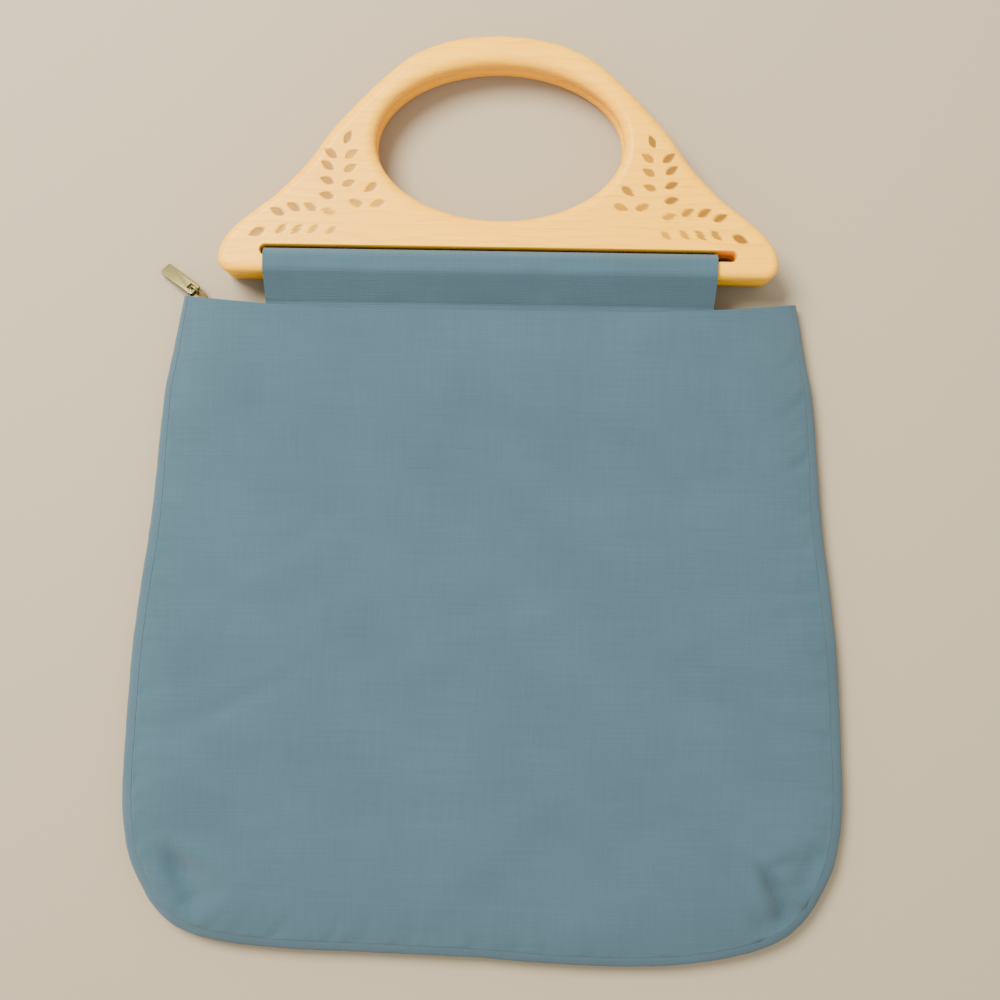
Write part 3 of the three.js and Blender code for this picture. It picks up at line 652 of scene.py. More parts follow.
def weave_material(name, thread, base, pale, dark, bump=0.00016):
    """Plain weave from the weave map, in metres. Each crossing is a pillow, |sin| by |sin| of
    the threads' places, and uneven threads show as long pale streaks both ways."""
    # Cotton canvas woven of spun yarn: the crossings and the uneven yarns give the eye a matt,
    # dry cloth with pale slubs. The yarns are drawn a little coarser than real so that they show.
    material, tree, shader = new_material(name)
    place = add_node(tree, "ShaderNodeUVMap", uv_map="weave").outputs["UV"]
    wander = stretched_noise(tree, place, 0.02, 0.02, 1)
    apart = add_node(tree, "ShaderNodeSeparateXYZ", {"Vector": place})
    waves = []
    for axis in ("X", "Y"):
        drift = maths(tree, "MULTIPLY_ADD", wander, 1.4, 0.0)
        count = maths(tree, "MULTIPLY_ADD", apart.outputs[axis], 1 / thread, drift)
        waves.append(maths(tree, "SINE", maths(tree, "MULTIPLY", count, math.pi)))
    over = maths(tree, "MULTIPLY", *waves)
    pillow = maths(tree, "ABSOLUTE", over)
    # Slubs are about 45 mm long in the weft, 30 mm in the warp and 1.1 mm wide
    weft = stretched_noise(tree, place, 0.045, 0.0011, 2)
    warp = stretched_noise(tree, place, 0.0011, 0.03, 2)
    broad = stretched_noise(tree, place, 0.05, 0.04, 3)
    slub = maths(tree, "MULTIPLY_ADD", warp, 0.45, maths(tree, "MULTIPLY", weft, 0.55))
    streak = add_node(
        tree, "ShaderNodeMapRange", {"Value": slub, "From Min": 0.35, "From Max": 0.8}
    ).outputs["Result"]
    tone = blend_colour(tree, streak, base, pale)
    # Painted shade: the gaps between the threads, where the pillows fall to nothing, are darkened
    # up to 0.6 of the way to the dark tone
    valley = add_node(
        tree,
        "ShaderNodeMapRange",
        {"Value": pillow, "From Min": 0.0, "From Max": 0.55, "To Min": 0.6, "To Max": 0.0},
    ).outputs["Result"]
    tone = blend_colour(tree, valley, tone, dark)
    side = maths(tree, "MULTIPLY_ADD", over, 0.05, 0.97)
    level = maths(tree, "MULTIPLY_ADD", broad, 0.3, maths(tree, "ADD", side, -0.12))
    hue = add_node(tree, "ShaderNodeHueSaturation", {"Color": tone, "Value": level})
    tree.links.new(hue.outputs["Color"], shader.inputs["Base Color"])
    height = maths(tree, "MULTIPLY_ADD", slub, 0.9, pillow)
    raised = add_node(
        tree, "ShaderNodeBump", {"Height": height, "Distance": bump, "Strength": 0.9}
    )
    tree.links.new(raised.outputs["Normal"], shader.inputs["Normal"])
    shader.inputs["Roughness"].default_value = 0.92
    shader.inputs["Specular IOR Level"].default_value = 0.25
    shader.inputs["Sheen Weight"].default_value = 0.12
    shader.inputs["Sheen Roughness"].default_value = 0.6
    return material


def wood_material(handle):
    """Varnished pale wood: fibres and grain lines run along X, with the leaves burnt darker."""
    # A sawn board, sanded and given a thin varnish, its leaves pressed in with a hot stamp: the
    # grain gives the eye long warm bands, and the thin coat a soft sheen on the rounded edges
    material, tree, shader = new_material("varnished_wood")
    place = add_node(tree, "ShaderNodeTexCoord").outputs["Object"]
    warp = stretched_noise(tree, place, 0.09, 0.03, 2)
    apart = add_node(tree, "ShaderNodeSeparateXYZ", {"Vector": place})
    # Growth lines about 5 mm apart across the board, bent by a slow wander
    lines = maths(tree, "MULTIPLY", apart.outputs["Y"], 190)
    growth = maths(tree, "MULTIPLY_ADD", warp, 5.0, lines)
    growth = maths(tree, "MULTIPLY_ADD", apart.outputs["Z"], 120, growth)
    line = maths(tree, "FRACT", growth)
    line = maths(tree, "POWER", line, 3.0)
    # Fibres are 20 mm long and 0.6 mm wide, coarser than real so that they show
    fibre = stretched_noise(tree, place, 0.02, 0.0006, 4)
    patch = stretched_noise(tree, place, 0.06, 0.02, 2)
    tone = blend_colour(
        tree,
        maths(tree, "MULTIPLY", line, 0.35),
        tuple(handle.pale_wood),
        tuple(handle.dark_wood),
    )
    tone = blend_colour(tree, maths(tree, "MULTIPLY", patch, 0.8), tone, tuple(handle.wood))
    fleck = add_node(
        tree,
        "ShaderNodeMapRange",
        {"Value": fibre, "From Min": 0.5, "From Max": 0.75, "To Max": 0.4},
    ).outputs["Result"]
    tone = blend_colour(tree, fleck, tone, tuple(handle.dark_wood))
    leaf = add_node(tree, "ShaderNodeAttribute", attribute_name="leaf").outputs["Fac"]
    tone = blend_colour(tree, maths(tree, "MULTIPLY", leaf, 0.85), tone, tuple(handle.burnt))
    tree.links.new(tone, shader.inputs["Base Color"])
    raised = add_node(
        tree, "ShaderNodeBump", {"Height": fibre, "Distance": 0.00004, "Strength": 0.5}
    )
    tree.links.new(raised.outputs["Normal"], shader.inputs["Normal"])
    shader.inputs["Roughness"].default_value = 0.42
    shader.inputs["Specular IOR Level"].default_value = 0.12
    shader.inputs["Coat Weight"].default_value = 0.08
    shader.inputs["Coat Roughness"].default_value = 0.18
    return material


def brass_material(zipper):
    """Pale antique brass: fine scratches, and paler patches where the tarnish has worn."""
    # Cast brass darkened in a bath and rubbed back: the patches, 4 mm across, and the scratches,
    # 3 mm long and 0.2 mm wide, give the eye a satin metal that has been handled
    material, tree, shader = new_material("antique_brass")
    place = add_node(tree, "ShaderNodeTexCoord").outputs["Object"]
    patch = stretched_noise(tree, place, 0.004, 0.004, 4)
    worn = add_node(
        tree,
        "ShaderNodeMapRange",
        {"Value": patch, "From Min": 0.35, "From Max": 0.7, "To Min": 0.05, "To Max": 0.45},
    ).outputs["Result"]
    tone = blend_colour(tree, worn, tuple(zipper.brass), tuple(zipper.worn_brass))
    tree.links.new(tone, shader.inputs["Base Color"])
    scratch = stretched_noise(tree, place, 0.003, 0.0002, 3)
    rough = add_node(
        tree,
        "ShaderNodeMapRange",
        {"Value": scratch, "To Min": 0.3, "To Max": 0.5},
    ).outputs["Result"]
    tree.links.new(rough, shader.inputs["Roughness"])
    shader.inputs["Metallic"].default_value = 0.85
    return material


def brass(zipper):
    """The zip's brass, made once and shared by its metal pieces."""
    return bpy.data.materials.get("antique_brass") or brass_material(zipper)


def height_map(points):
    """Weave map of a grid that is nearly level: the plan, plus the length that the cloth's
    rise and fall adds along each row and column, counted outwards from the grid's middle."""
    maps = []
    for axis, k in ((1, 0), (0, 1)):
        step = np.diff(points, axis=axis)
        extra = np.linalg.norm(step, axis=-1) - np.linalg.norm(step[..., :2], axis=-1)
        heading = np.sign(np.take(step[..., k], step.shape[axis] // 2, axis=axis))
        total = np.cumsum(extra, axis=axis)
        total = np.insert(total, 0, 0, axis=axis)
        centre = np.take(total, [total.shape[axis] // 2], axis=axis)
        turn = np.expand_dims(heading, axis)
        maps.append(points[..., k] + (total - centre) * turn)
    return np.stack(maps, -1)


def cloth(context):
    """The pouch's cloth, made once and shared by the panels and casings."""
    pouch = context.scene.pouch
    found = bpy.data.materials.get("grey_blue_canvas")
    return found or weave_material(
        "grey_blue_canvas",
        pouch.thread,
        tuple(pouch.cloth),
        tuple(pouch.pale_cloth),
        tuple(pouch.thread_gap_shade),
    )


class BAG_OT_front_panel(Operator):
    """Adds the front panel of the pouch"""

    bl_idname = "bag.front_panel"
    bl_label = "Front Panel"

    def execute(self, context):
        scene = context.scene
        pouch = scene.pouch
        across, down = mixed_shares(200), mixed_shares(180)
        across, down = np.meshgrid(across, down)
        points = front_face(pouch, scene.casing, scene.handle, across, down)
        faces = grid_faces(*across.shape)[:, ::-1]
        obj = mesh_object("front_cloth", points, faces, height_map(points))
        thicken(obj, pouch.wall)
        smooth(obj, 60)
        finish_piece(obj, "bag", cloth(context), ["front_panel"])
        return {"FINISHED"}


class BAG_OT_back_panel(Operator):
    """Adds the back panel of the pouch with its turned-up rim"""

    bl_idname = "bag.back_panel"
    bl_label = "Back Panel"

    def execute(self, context):
        pouch = context.scene.pouch
        flat = -math.pi / 2
        columns, rows = 150, 130
        across, down = np.meshgrid(mixed_shares(columns), mixed_shares(rows))

        def foot(side, run):
            return rim_point(pouch, side, run, flat)

        floor = fill_patch(pouch, across, down, foot)
        floor[..., 2] = 0
        # The rim's stations run down the left side, along the bottom and up the right side
        side_runs = mixed_shares(rows) * CORNER_RUN
        low_runs = 1 - np.abs(2 * mixed_shares(columns) - 1) * (1 - CORNER_RUN)
        low_sides = np.where(mixed_shares(columns) < 0.5, -1, 1)
        run = np.concatenate([side_runs, low_runs[1:-1], side_runs[::-1]])
        side = np.concatenate([0 * side_runs - 1, low_sides[1:-1], 0 * side_runs + 1])
        steps = 22
        top = past_seam(pouch, run, -SEAM_GAP / 2)
        turn = mix(flat, top[None, :], np.linspace(0, 1, steps + 1)[:, None])
        rim = rim_point(pouch, side[None, :], run[None, :], turn)
        feet = rim[0]
        girth = np.cumsum(np.linalg.norm(np.diff(rim, axis=0), axis=-1), axis=0)
        girth = np.insert(girth, 0, 0, axis=0)
        outward = rim[steps // 2, :, :2] - feet[:, :2]
        rim_map = feet[None, :, :2] + girth[..., None] * unit(outward)[None]
        # Puckers swell the rim a little where it stands free of the floor
        waves = puckers_at(pouch, rim[..., 0], rim[..., 1], pouch.seed + 2)
        share = np.linspace(0, 1, steps + 1)[:, None]
        swell = waves * eased(share, 0.25, 0.6) * (1 - eased(share, 0.9, 1))
        rim[..., :2] -= (swell * 0.12)[..., None] * unit(outward)[None]
        points = np.concatenate([floor.reshape(-1, 3), rim.reshape(-1, 3)])
        maps = np.concatenate([floor[..., :2].reshape(-1, 2), rim_map.reshape(-1, 2)])
        faces = np.concatenate([
            grid_faces(*across.shape),
            grid_faces(*turn.shape) + floor.reshape(-1, 3).shape[0],
        ])
        obj = mesh_object("back_cloth", points, faces, maps)
        merge(obj)
        thicken(obj, pouch.wall)
        smooth(obj, 60)
        finish_piece(obj, "bag", cloth(context), ["back_panel"])
        return {"FINISHED"}


def tangent_point(start, centre, radius):
    """Where a line from start touches a circle on its upper side, in (y, z)."""
    reach = start - centre
    size = np.linalg.norm(reach)
    turn = -math.acos(radius / size)
    c, s = math.cos(turn), math.sin(turn)
    reach = reach / size * radius
    return np.array([c * reach[0] - s * reach[1], s * reach[0] + c * reach[1]]) + centre


def arc(centre, size, start, end, count):
    """Points of an ellipse's arc, in (y, z)."""
    t = np.linspace(start, end, count)
    return np.stack([centre[0] + size[0] * np.cos(t), centre[1] + size[1] * np.sin(t)], -1)


def casing_section(pouch, casing, handle, low_z, tail_z):
    """A casing's outer line in (y, z), y up from the bar's lower edge: up the tail, straight to
    the bar's rounding, over the bar, round through the slot, under the bar and down the tail."""
    heights = stack_heights(pouch, casing, handle)
    high_z = low_z + heights["casing_depth"]
    bar_y = mouth_y(pouch, 0) + casing.bar_to_hem
    hem_y = mouth_y(pouch, casing.width / 2) + TAIL_SET - bar_y
    tail_end = mouth_y(pouch, 0) - casing.tail - bar_y
    rise = handle.slot_height - casing.crest_gap
    radius = handle.rounding + casing.slack + casing.wall
    centre = np.array([handle.rounding, high_z - radius])
    tail_top = np.array([hem_y, tail_z + heights["tail"]])
    touch = tangent_point(tail_top, centre, radius)
    touch_turn = math.atan2(touch[1] - centre[1], touch[0] - centre[0])
    crest = (handle.bar, low_z + heights["casing_depth"] / 2)
    parts = [
        np.linspace((tail_end, tail_top[1]), tail_top, 12)[:-1],
        np.linspace(tail_top, touch, 18)[:-1],
        arc(centre, (radius, radius), touch_turn, math.pi / 2, 14)[:-1],
        np.linspace((centre[0], high_z), (handle.bar, high_z), 12)[:-1],
        arc(crest, (rise, heights["casing_depth"] / 2), math.pi / 2, -math.pi / 2, 26),
        np.linspace((handle.bar, low_z), (0, low_z), 12)[1:],
        np.linspace((0, low_z), (hem_y, tail_z), 18)[1:],
        np.linspace((hem_y, tail_z), (tail_end, tail_z), 12)[1:],
    ]
    return np.concatenate(parts), bar_y


def casing_sheet(context, name, low_z, tail_z, seed):
    """A casing: its section carried along X, with slack ripples on the slope to the hem."""
    scene = context.scene
    pouch, casing, handle = scene.pouch, scene.casing, scene.handle
    section, bar_y = casing_section(pouch, casing, handle, low_z, tail_z)
    x = mix(-0.5, 0.5, mixed_shares(150, 0.35)) * casing.width
    points = np.empty((len(x), len(section), 3))
    points[..., 0] = x[:, None]
    points[..., 1:] = section[None]
    chance = np.random.default_rng(seed)
    girth = along(section)
    share = girth / girth[-1]
    ripple = np.zeros((len(x), len(section)))
    for _ in range(RIPPLE_COUNT):
        where = chance.uniform(-0.5, 0.5) * casing.width
        wide, lean = chance.uniform(0.003, 0.009), chance.normal(0, 0.25)
        offset = x[:, None] - where - lean * (section[None, :, 0] + 0.006)
        ripple += chance.uniform(-1, 1) * np.exp(-((offset / wide) ** 2))
    slope = eased(share, 0.16, 0.24) * (1 - eased(share, 0.34, 0.42))
    points[..., 2] += ripple * slope[None, :] * casing.ripple
    points[..., 1] += bar_y
    maps = np.stack(np.broadcast_arrays(x[:, None], girth[None, :]), -1)
    obj = mesh_object(name, points, grid_faces(*ripple.shape)[:, ::-1], maps)
    thicken(obj, casing.wall)
    smooth(obj, 50)
    return obj, float(girth[-1])


class BAG_OT_casings(Operator):
    """Adds the two cloth tabs that hold the handles' bars"""

    bl_idname = "bag.casings"
    bl_label = "Handle Casings"

    def execute(self, context):
        scene = context.scene
        heights = stack_heights(scene.pouch, scene.casing, scene.handle)
        rows = (
            ("front_tab", "front_casing", heights["front_casing"], heights["front_casing"]),
            ("back_tab", "back_casing", 0.0, heights["back_tail"]),
        )
        for seed, (name, node, low_z, tail_z) in enumerate(rows):
            obj, girth = casing_sheet(context, name, low_z, tail_z, scene.pouch.seed + seed)
            finish_piece(obj, "bag", cloth(context), [node])
        return {"FINISHED"}


def handle_outline(handle, count=3200):
    """The handle's closed outline from the arch's top clockwise, with its outward normals and
    the length along it. The toes are quarter rounds and the lower edge is straight."""
    half, toe = handle.width / 2, handle.toe_radius
    rows = [(row["out"] * half, row["up"] * handle.height) for row in HANDLE_ROWS]
    side = spline(rows, 1200)
    side = side[along(side) < along(side)[-1]]
    round_toe = arc((half - toe, toe), (toe, toe), 0, -math.pi / 2, 60)
    right = np.concatenate([side, round_toe])
    floor = np.linspace(right[-1], right[-1] * (-1, 1), 600)[1:-1]
    loop = np.concatenate([right, floor, right[::-1] * (-1, 1)])
    girth = along(loop)
    even = np.linspace(0, girth[-1], count)
    loop = np.stack([np.interp(even, girth, loop[:, k]) for k in (0, 1)], -1)
    heading = unit(np.roll(loop[:-1], -3, 0) - np.roll(loop[:-1], 3, 0))
    normal = np.stack([-heading[:, 1], heading[:, 0]], -1)
    return loop[:-1], normal, even[:-1]


def opening_of(handle):
    """Middle height and half sizes of the oval hand opening."""
    high = handle.height - handle.arch_band - handle.bridge - handle.slot_height - handle.bar
    return handle.height - handle.arch_band - high / 2, handle.opening_width / 2, high / 2


def leaf_field(handle, x, y):
    """Strength of the pressed leaves: 1 in a leaf's middle, fading to 0 at its pointed oval
    edge, where its half width is a parabola of the place along it."""
    field = np.zeros_like(x)
    for mirror, strength in ((1, 1.0), (-1, LEFT_LEAF_SHARE)):
        for row in LEAF_ROWS:
            turn = math.radians(row["turn"])
            dx, dy = mirror * x - row["x"], y - row["y"]
            u = (dx * math.cos(turn) + dy * math.sin(turn)) / (row["long"] / 2)
            v = (dy * math.cos(turn) - dx * math.sin(turn)) / (row["long"] / 2)
            half = 0.62 * np.clip(1 - u * u, 0, 1) * (1 - 0.2 * u)
            depth = np.clip(1 - np.abs(v) / np.maximum(half, 1e-4), 0, 1)
            shape = eased(depth, 0, 0.45) * eased(1 - np.abs(u), 0, 0.12)
            field = np.maximum(field, shape * strength * row["deep"])
    return field


def handle_shell(handle, leaves_up):
    """The board as a ring round its hand opening. Each station joins a place on the outline to
    the place on the oval in the same direction; between them the section is a rounded box:
    quarter rounds of their own radius at the outer and the inner edge, and level faces."""
    centre_y, half_w, half_h = opening_of(handle)
    loop, normal, girth = handle_outline(handle)
    # Stations crowd where the leaves are, 0.6 mm apart, and spread elsewhere
    place = np.arctan2(loop[:, 1] - centre_y, np.abs(loop[:, 0]))
    leafy = eased(place, -1.0, -0.9) * (1 - eased(place, 0.1, 0.2))
    toes = np.exp(-((loop[:, 1] / 0.02) ** 2)) * (np.abs(loop[:, 0]) > 0.46 * handle.width)
    density = 1 / 0.0023 + leafy / 0.0009 + toes / 0.0009
    count = np.cumsum(density) * (girth[1] - girth[0])
    stations = np.interp(np.arange(int(count[-1])), count, np.arange(len(count))).astype(int)
    stations = np.unique(stations)
    outer, out_normal = loop[stations], normal[stations]
    direction = np.arctan2(outer[:, 1] - centre_y, outer[:, 0])
    slope = np.arctan2(np.sin(direction) / half_h, np.cos(direction) / half_w)
    inner = np.stack([half_w * np.cos(slope), centre_y + half_h * np.sin(slope)], -1)
    in_normal = unit(np.stack([np.cos(slope) / half_w, np.sin(slope) / half_h], -1))
    arch = eased(outer[:, 1], 0.25 * handle.height, 0.6 * handle.height)
    out_round = mix(handle.rounding, handle.arch_rounding, arch)[:, None]
    in_round = np.full_like(out_round, handle.inner_rounding)
    thick = handle.thickness

    quarter = np.linspace(0, math.pi / 2, 11)[None, :]
    face = mixed_shares(66, 0.2)[None, :]
    low_face = np.linspace(0, 1, 13)[None, :]

    def corner(points, outwards, radius, turn):
        """Plan place on a quarter round: in from the edge by radius (1 - cos turn)."""
        inset = radius * (1 - np.cos(turn))
        return points[:, None, :] - outwards[:, None, :] * inset[..., None]

    out_top = corner(outer, out_normal, out_round, quarter[:, ::-1] * np.ones_like(out_round))
    in_top = corner(inner, -in_normal, in_round, quarter * np.ones_like(in_round))
    edge_in, edge_out = in_top[:, -1], out_top[:, 0]
    top = mix(edge_in[:, None], edge_out[:, None], face[..., None])[:, 1:-1]
    low = mix(edge_out[:, None], edge_in[:, None], low_face[..., None])[:, 1:-1]
    plan = np.concatenate(
        [in_top, top, out_top, out_top[:, ::-1], low, in_top[:, ::-1]], axis=1
    )
    rise_in = thick - in_round * (1 - np.sin(quarter))
    rise_out = thick - out_round * (1 - np.sin(quarter[:, ::-1]))
    level = np.full((len(outer), face.size - 2), thick)
    floor = np.zeros((len(outer), low_face.size - 2))
    z = np.concatenate(
        [rise_in, level, rise_out, thick - rise_out[:, ::-1], floor, thick - rise_in[:, ::-1]],
        axis=1,
    )
    x, y = plan[..., 0], plan[..., 1]
    leaf = leaf_field(handle, x, y) * (z > 0.9 * thick)
    z = z - leaf * handle.leaf_depth
    if not leaves_up:
        z = thick - z
    faces = grid_faces(*z.shape, close_rows=True, close_columns=True)
    return np.stack([x, y, z], -1), faces if leaves_up else faces[:, ::-1], leaf


def slot_cutter(handle):
    """A stadium that flares a little at both faces of the board, to cut the slot. Its heights
    are those of a 12 mm board, and the upper ones move with the board's real thickness."""
    board = 0.012
    turns = np.linspace(-math.pi / 2, math.pi / 2, 17)
    radius = handle.slot_height / 2
    heights = np.array([-0.002, 0.0, 0.0007, 0.0016, 0.0104, 0.0113, 0.012, 0.014])
    heights = np.where(heights > board / 2, heights - board + handle.thickness, heights)
    flare = np.array([0.0012, 0.0005, 0.0001, 0.0, 0.0, 0.0001, 0.0005, 0.0012])
    reach = radius + flare[:, None]
    end = handle.slot_width / 2 - radius
    x = np.concatenate([end + reach * np.cos(turns), -end - reach * np.cos(turns)], 1)
    y = np.concatenate([reach * np.sin(turns), -reach * np.sin(turns)], 1)
    z = np.broadcast_to(heights[:, None], x.shape)
    points = np.stack([x, y + handle.bar + radius, z], -1)
    count = x.shape[1]
    faces = grid_faces(len(heights), count, close_columns=True).tolist()
    faces += [list(range(count))[::-1], list(range(count * (len(heights) - 1), x.size))]
    return points, faces


def seated(points, pouch, casing, handle, under_z, drop):
    """Points of a handle tipped about its bar's middle so that its arch drops."""
    lever = handle.height - handle.rounding - handle.bar / 2
    tip = -math.asin(drop / lever)
    y, z = points[..., 1] - handle.bar / 2, points[..., 2]
    bar_y = mouth_y(pouch, 0) + casing.bar_to_hem + handle.bar / 2
    return np.stack(
        [
            points[..., 0] + handle.shift,
            bar_y + y * math.cos(tip) - z * math.sin(tip),
            under_z + y * math.sin(tip) + z * math.cos(tip),
        ],
        -1,
    )


class BAG_OT_handles(Operator):
    """Adds the two wooden handles with their pressed leaves"""

    bl_idname = "bag.handles"
    bl_label = "Wooden Handles"

    def execute(self, context):
        scene = context.scene
        pouch, casing, handle = scene.pouch, scene.casing, scene.handle
        heights = stack_heights(pouch, casing, handle)
        wood = wood_material(handle)
        drop = heights["front_bar"] - handle.thickness - SEAT_GAP
        rows = (
            ("front_wood", "front_handle", heights["front_bar"], drop, True),
            ("back_wood", "back_handle", heights["back_bar"], heights["back_bar"], False),
        )
        for name, node, under_z, fall, leaves_up in rows:
            points, faces, leaf = handle_shell(handle, leaves_up)
            points = seated(points, pouch, casing, handle, under_z, fall)
            obj = mesh_object(name, points, faces)
            mark = obj.data.attributes.new("leaf", "FLOAT", "POINT")
            mark.data.foreach_set("value", leaf.astype(np.float32).ravel())
            merge(obj)
            cut_points, cut_faces = slot_cutter(handle)
            cut_points = seated(cut_points, pouch, casing, handle, under_z, fall)
            cutter = mesh_object("cutter", cut_points, np.array(cut_faces, dtype=object))
            cut = obj.modifiers.new("slot", "BOOLEAN")
            cut.operation = "DIFFERENCE"
            cut.solver = "EXACT"
            cut.object = cutter
            apply_modifiers(obj)
            bpy.data.objects.remove(cutter)
            smooth(obj, 32)
            finish_piece(obj, "bag", wood, [node])
        return {"FINISHED"}


def slider_matrix(pouch, zipper, placed):
    """The slider's frame: x out along its travel, z off its face, on the pull's hinge."""
    hinge = Vector(placed) - Vector(POUCH_ZERO)
    turn = Matrix.Rotation(zipper.yaw, 4, "Z") @ Matrix.Rotation(zipper.roll, 4, "X")
    return Matrix.Translation(hinge) @ turn


def web_span(pouch, casing, handle, zipper, x):
    """Lowest and highest place of the tape's web between the two hems."""
    heights = stack_heights(pouch, casing, handle)
    past = eased(np.abs(x), casing.width / 2, casing.width / 2 + zipper.web_ease)
    low = mix(heights["back_tail"] + heights["tail"] + SEAT_GAP, pouch.wall + SEAT_GAP, past)
    corner = mouth_corner(pouch)
    run = corner[0] - casing.width / 2 - HEM_MARGIN
    inner = mix(corner[2], heights["hem"], rising(corner[0] - np.abs(x), run)) - pouch.wall
    return low, np.minimum(heights["front_casing"], inner) - 2 * SEAT_GAP


def zip_course(context, straight_count=150, turn_count=60):
    """Centre, across direction and half width of the tape from its right end to the slider.
    The last stretch bends down a Catmull-Rom line while it turns flat."""
    scene = context.scene
    pouch, casing, handle, zipper = scene.pouch, scene.casing, scene.handle, scene.zipper
    joint = frame["record"]["behaviour"]["joints"][0]
    place = slider_matrix(pouch, zipper, joint["pos_m"])
    corner = mouth_corner(pouch)
    right_x = corner[0] - zipper.web_recess
    past_casing = casing.width / 2 + zipper.web_ease
    x = np.linspace(right_x, -past_casing, straight_count)
    low, high = web_span(pouch, casing, handle, zipper, x)
    centre = np.stack([x, mouth_y(pouch, x) - zipper.web_recess, (low + high) / 2], -1)
    half = (high - low) / 2
    up = np.tile((0.0, 0.0, 1.0), (straight_count, 1))

    bail_sink = 0.00015
    bail_lift = zipper.bail_radius - zipper.bail_wire / 2 - bail_sink
    channel_z = -bail_lift - zipper.slider_plate - zipper.slider_channel / 2
    lift = zipper.tape / 2 + zipper.teeth_gap + zipper.teeth_height / 2
    rear_x = zipper.bail_radius - zipper.slider_length
    across = np.array(place.to_3x3() @ Vector((0, 1, 0)))
    behind = place @ Vector((rear_x - zipper.slider_length, 0, channel_z - lift))
    rear = place @ Vector((rear_x - SEAT_GAP, 0, channel_z - lift))
    bend = spline([centre[-1], behind, rear], turn_count + 1)[1:]
    t = np.linspace(0, 1, turn_count + 1)[1:]
    turned = eased(t, 0, 0.8)
    turn_across = unit(mix(up[:1], across[None], turned[:, None]))
    turn_half = mix(half[-1], zipper.teeth_width / 2, turned)
    floor = pouch.wall + SEAT_GAP + zipper.tape / 2 + turn_half * turn_across[:, 2]
    bend[:, 2] = np.maximum(bend[:, 2], floor)
    return (
        np.concatenate([centre, bend]),
        np.concatenate([up, turn_across]),
        np.concatenate([half, turn_half]),
        lift,
    )


def off_face(centre, across):
    """Direction off the tape's face along its course."""
    return unit(np.cross(np.gradient(centre, axis=0), across))


class BAG_OT_zip_tape(Operator):
    """Adds the zip's woven tape between the hems"""

    bl_idname = "bag.zip_tape"
    bl_label = "Zip Tape"

    def execute(self, context):
        zipper = context.scene.zipper
        centre, across, half, _ = zip_course(context)
        # The sewn edges turn in behind the hems where the casings are, and fade out past them
        casing = context.scene.casing
        behind = 1 - eased(np.abs(centre[:, 0]), casing.width / 2 - 0.001, casing.width / 2)
        flange = zipper.flange * behind
        widths = np.linspace(-1, 1, 15)
        inset = half - zipper.tape / 2
        web = centre[:, None] + across[:, None] * (inset[:, None] * widths[None])[..., None]
        inwards = np.array([0.0, -1.0, 0.0])
        shares = np.linspace(1, 0, 8)[:-1]
        low = web[:, :1] + inwards * (flange[:, None] * shares[None])[..., None]
        high = web[:, -1:] + inwards * (flange[:, None] * shares[None, ::-1])[..., None]
        points = np.concatenate([low, web, high], axis=1)
        girth = np.cumsum(np.linalg.norm(np.diff(points, axis=1), axis=-1), axis=1)
        girth = np.insert(girth, 0, 0, axis=1)
        run = np.broadcast_to(along(centre)[:, None], girth.shape)
        maps = np.stack([run, girth], -1)
        obj = mesh_object("tape_cloth", points, grid_faces(*girth.shape), maps)
        merge(obj, 1e-5)
        solid = obj.modifiers.new("wall", "SOLIDIFY")
        solid.thickness = zipper.tape
        solid.offset = 0
        apply_modifiers(obj)
        smooth(obj, 60)
        # The tape is woven finer than the canvas, with half a millimetre to a thread
        thread, bump = 0.0005, 0.00008
        tone = Vector(zipper.tape_colour)
        # Its dark tone, 0.7 of the tape's colour, is the painted shade in the gaps between the
        # threads
        tape = weave_material(
            "zip_tape_weave", thread, tuple(tone), tuple(tone * 1.3), tuple(tone * 0.7), bump
        )
        finish_piece(obj, "bag", tape, ["zip_tape"])
        return {"FINISHED"}


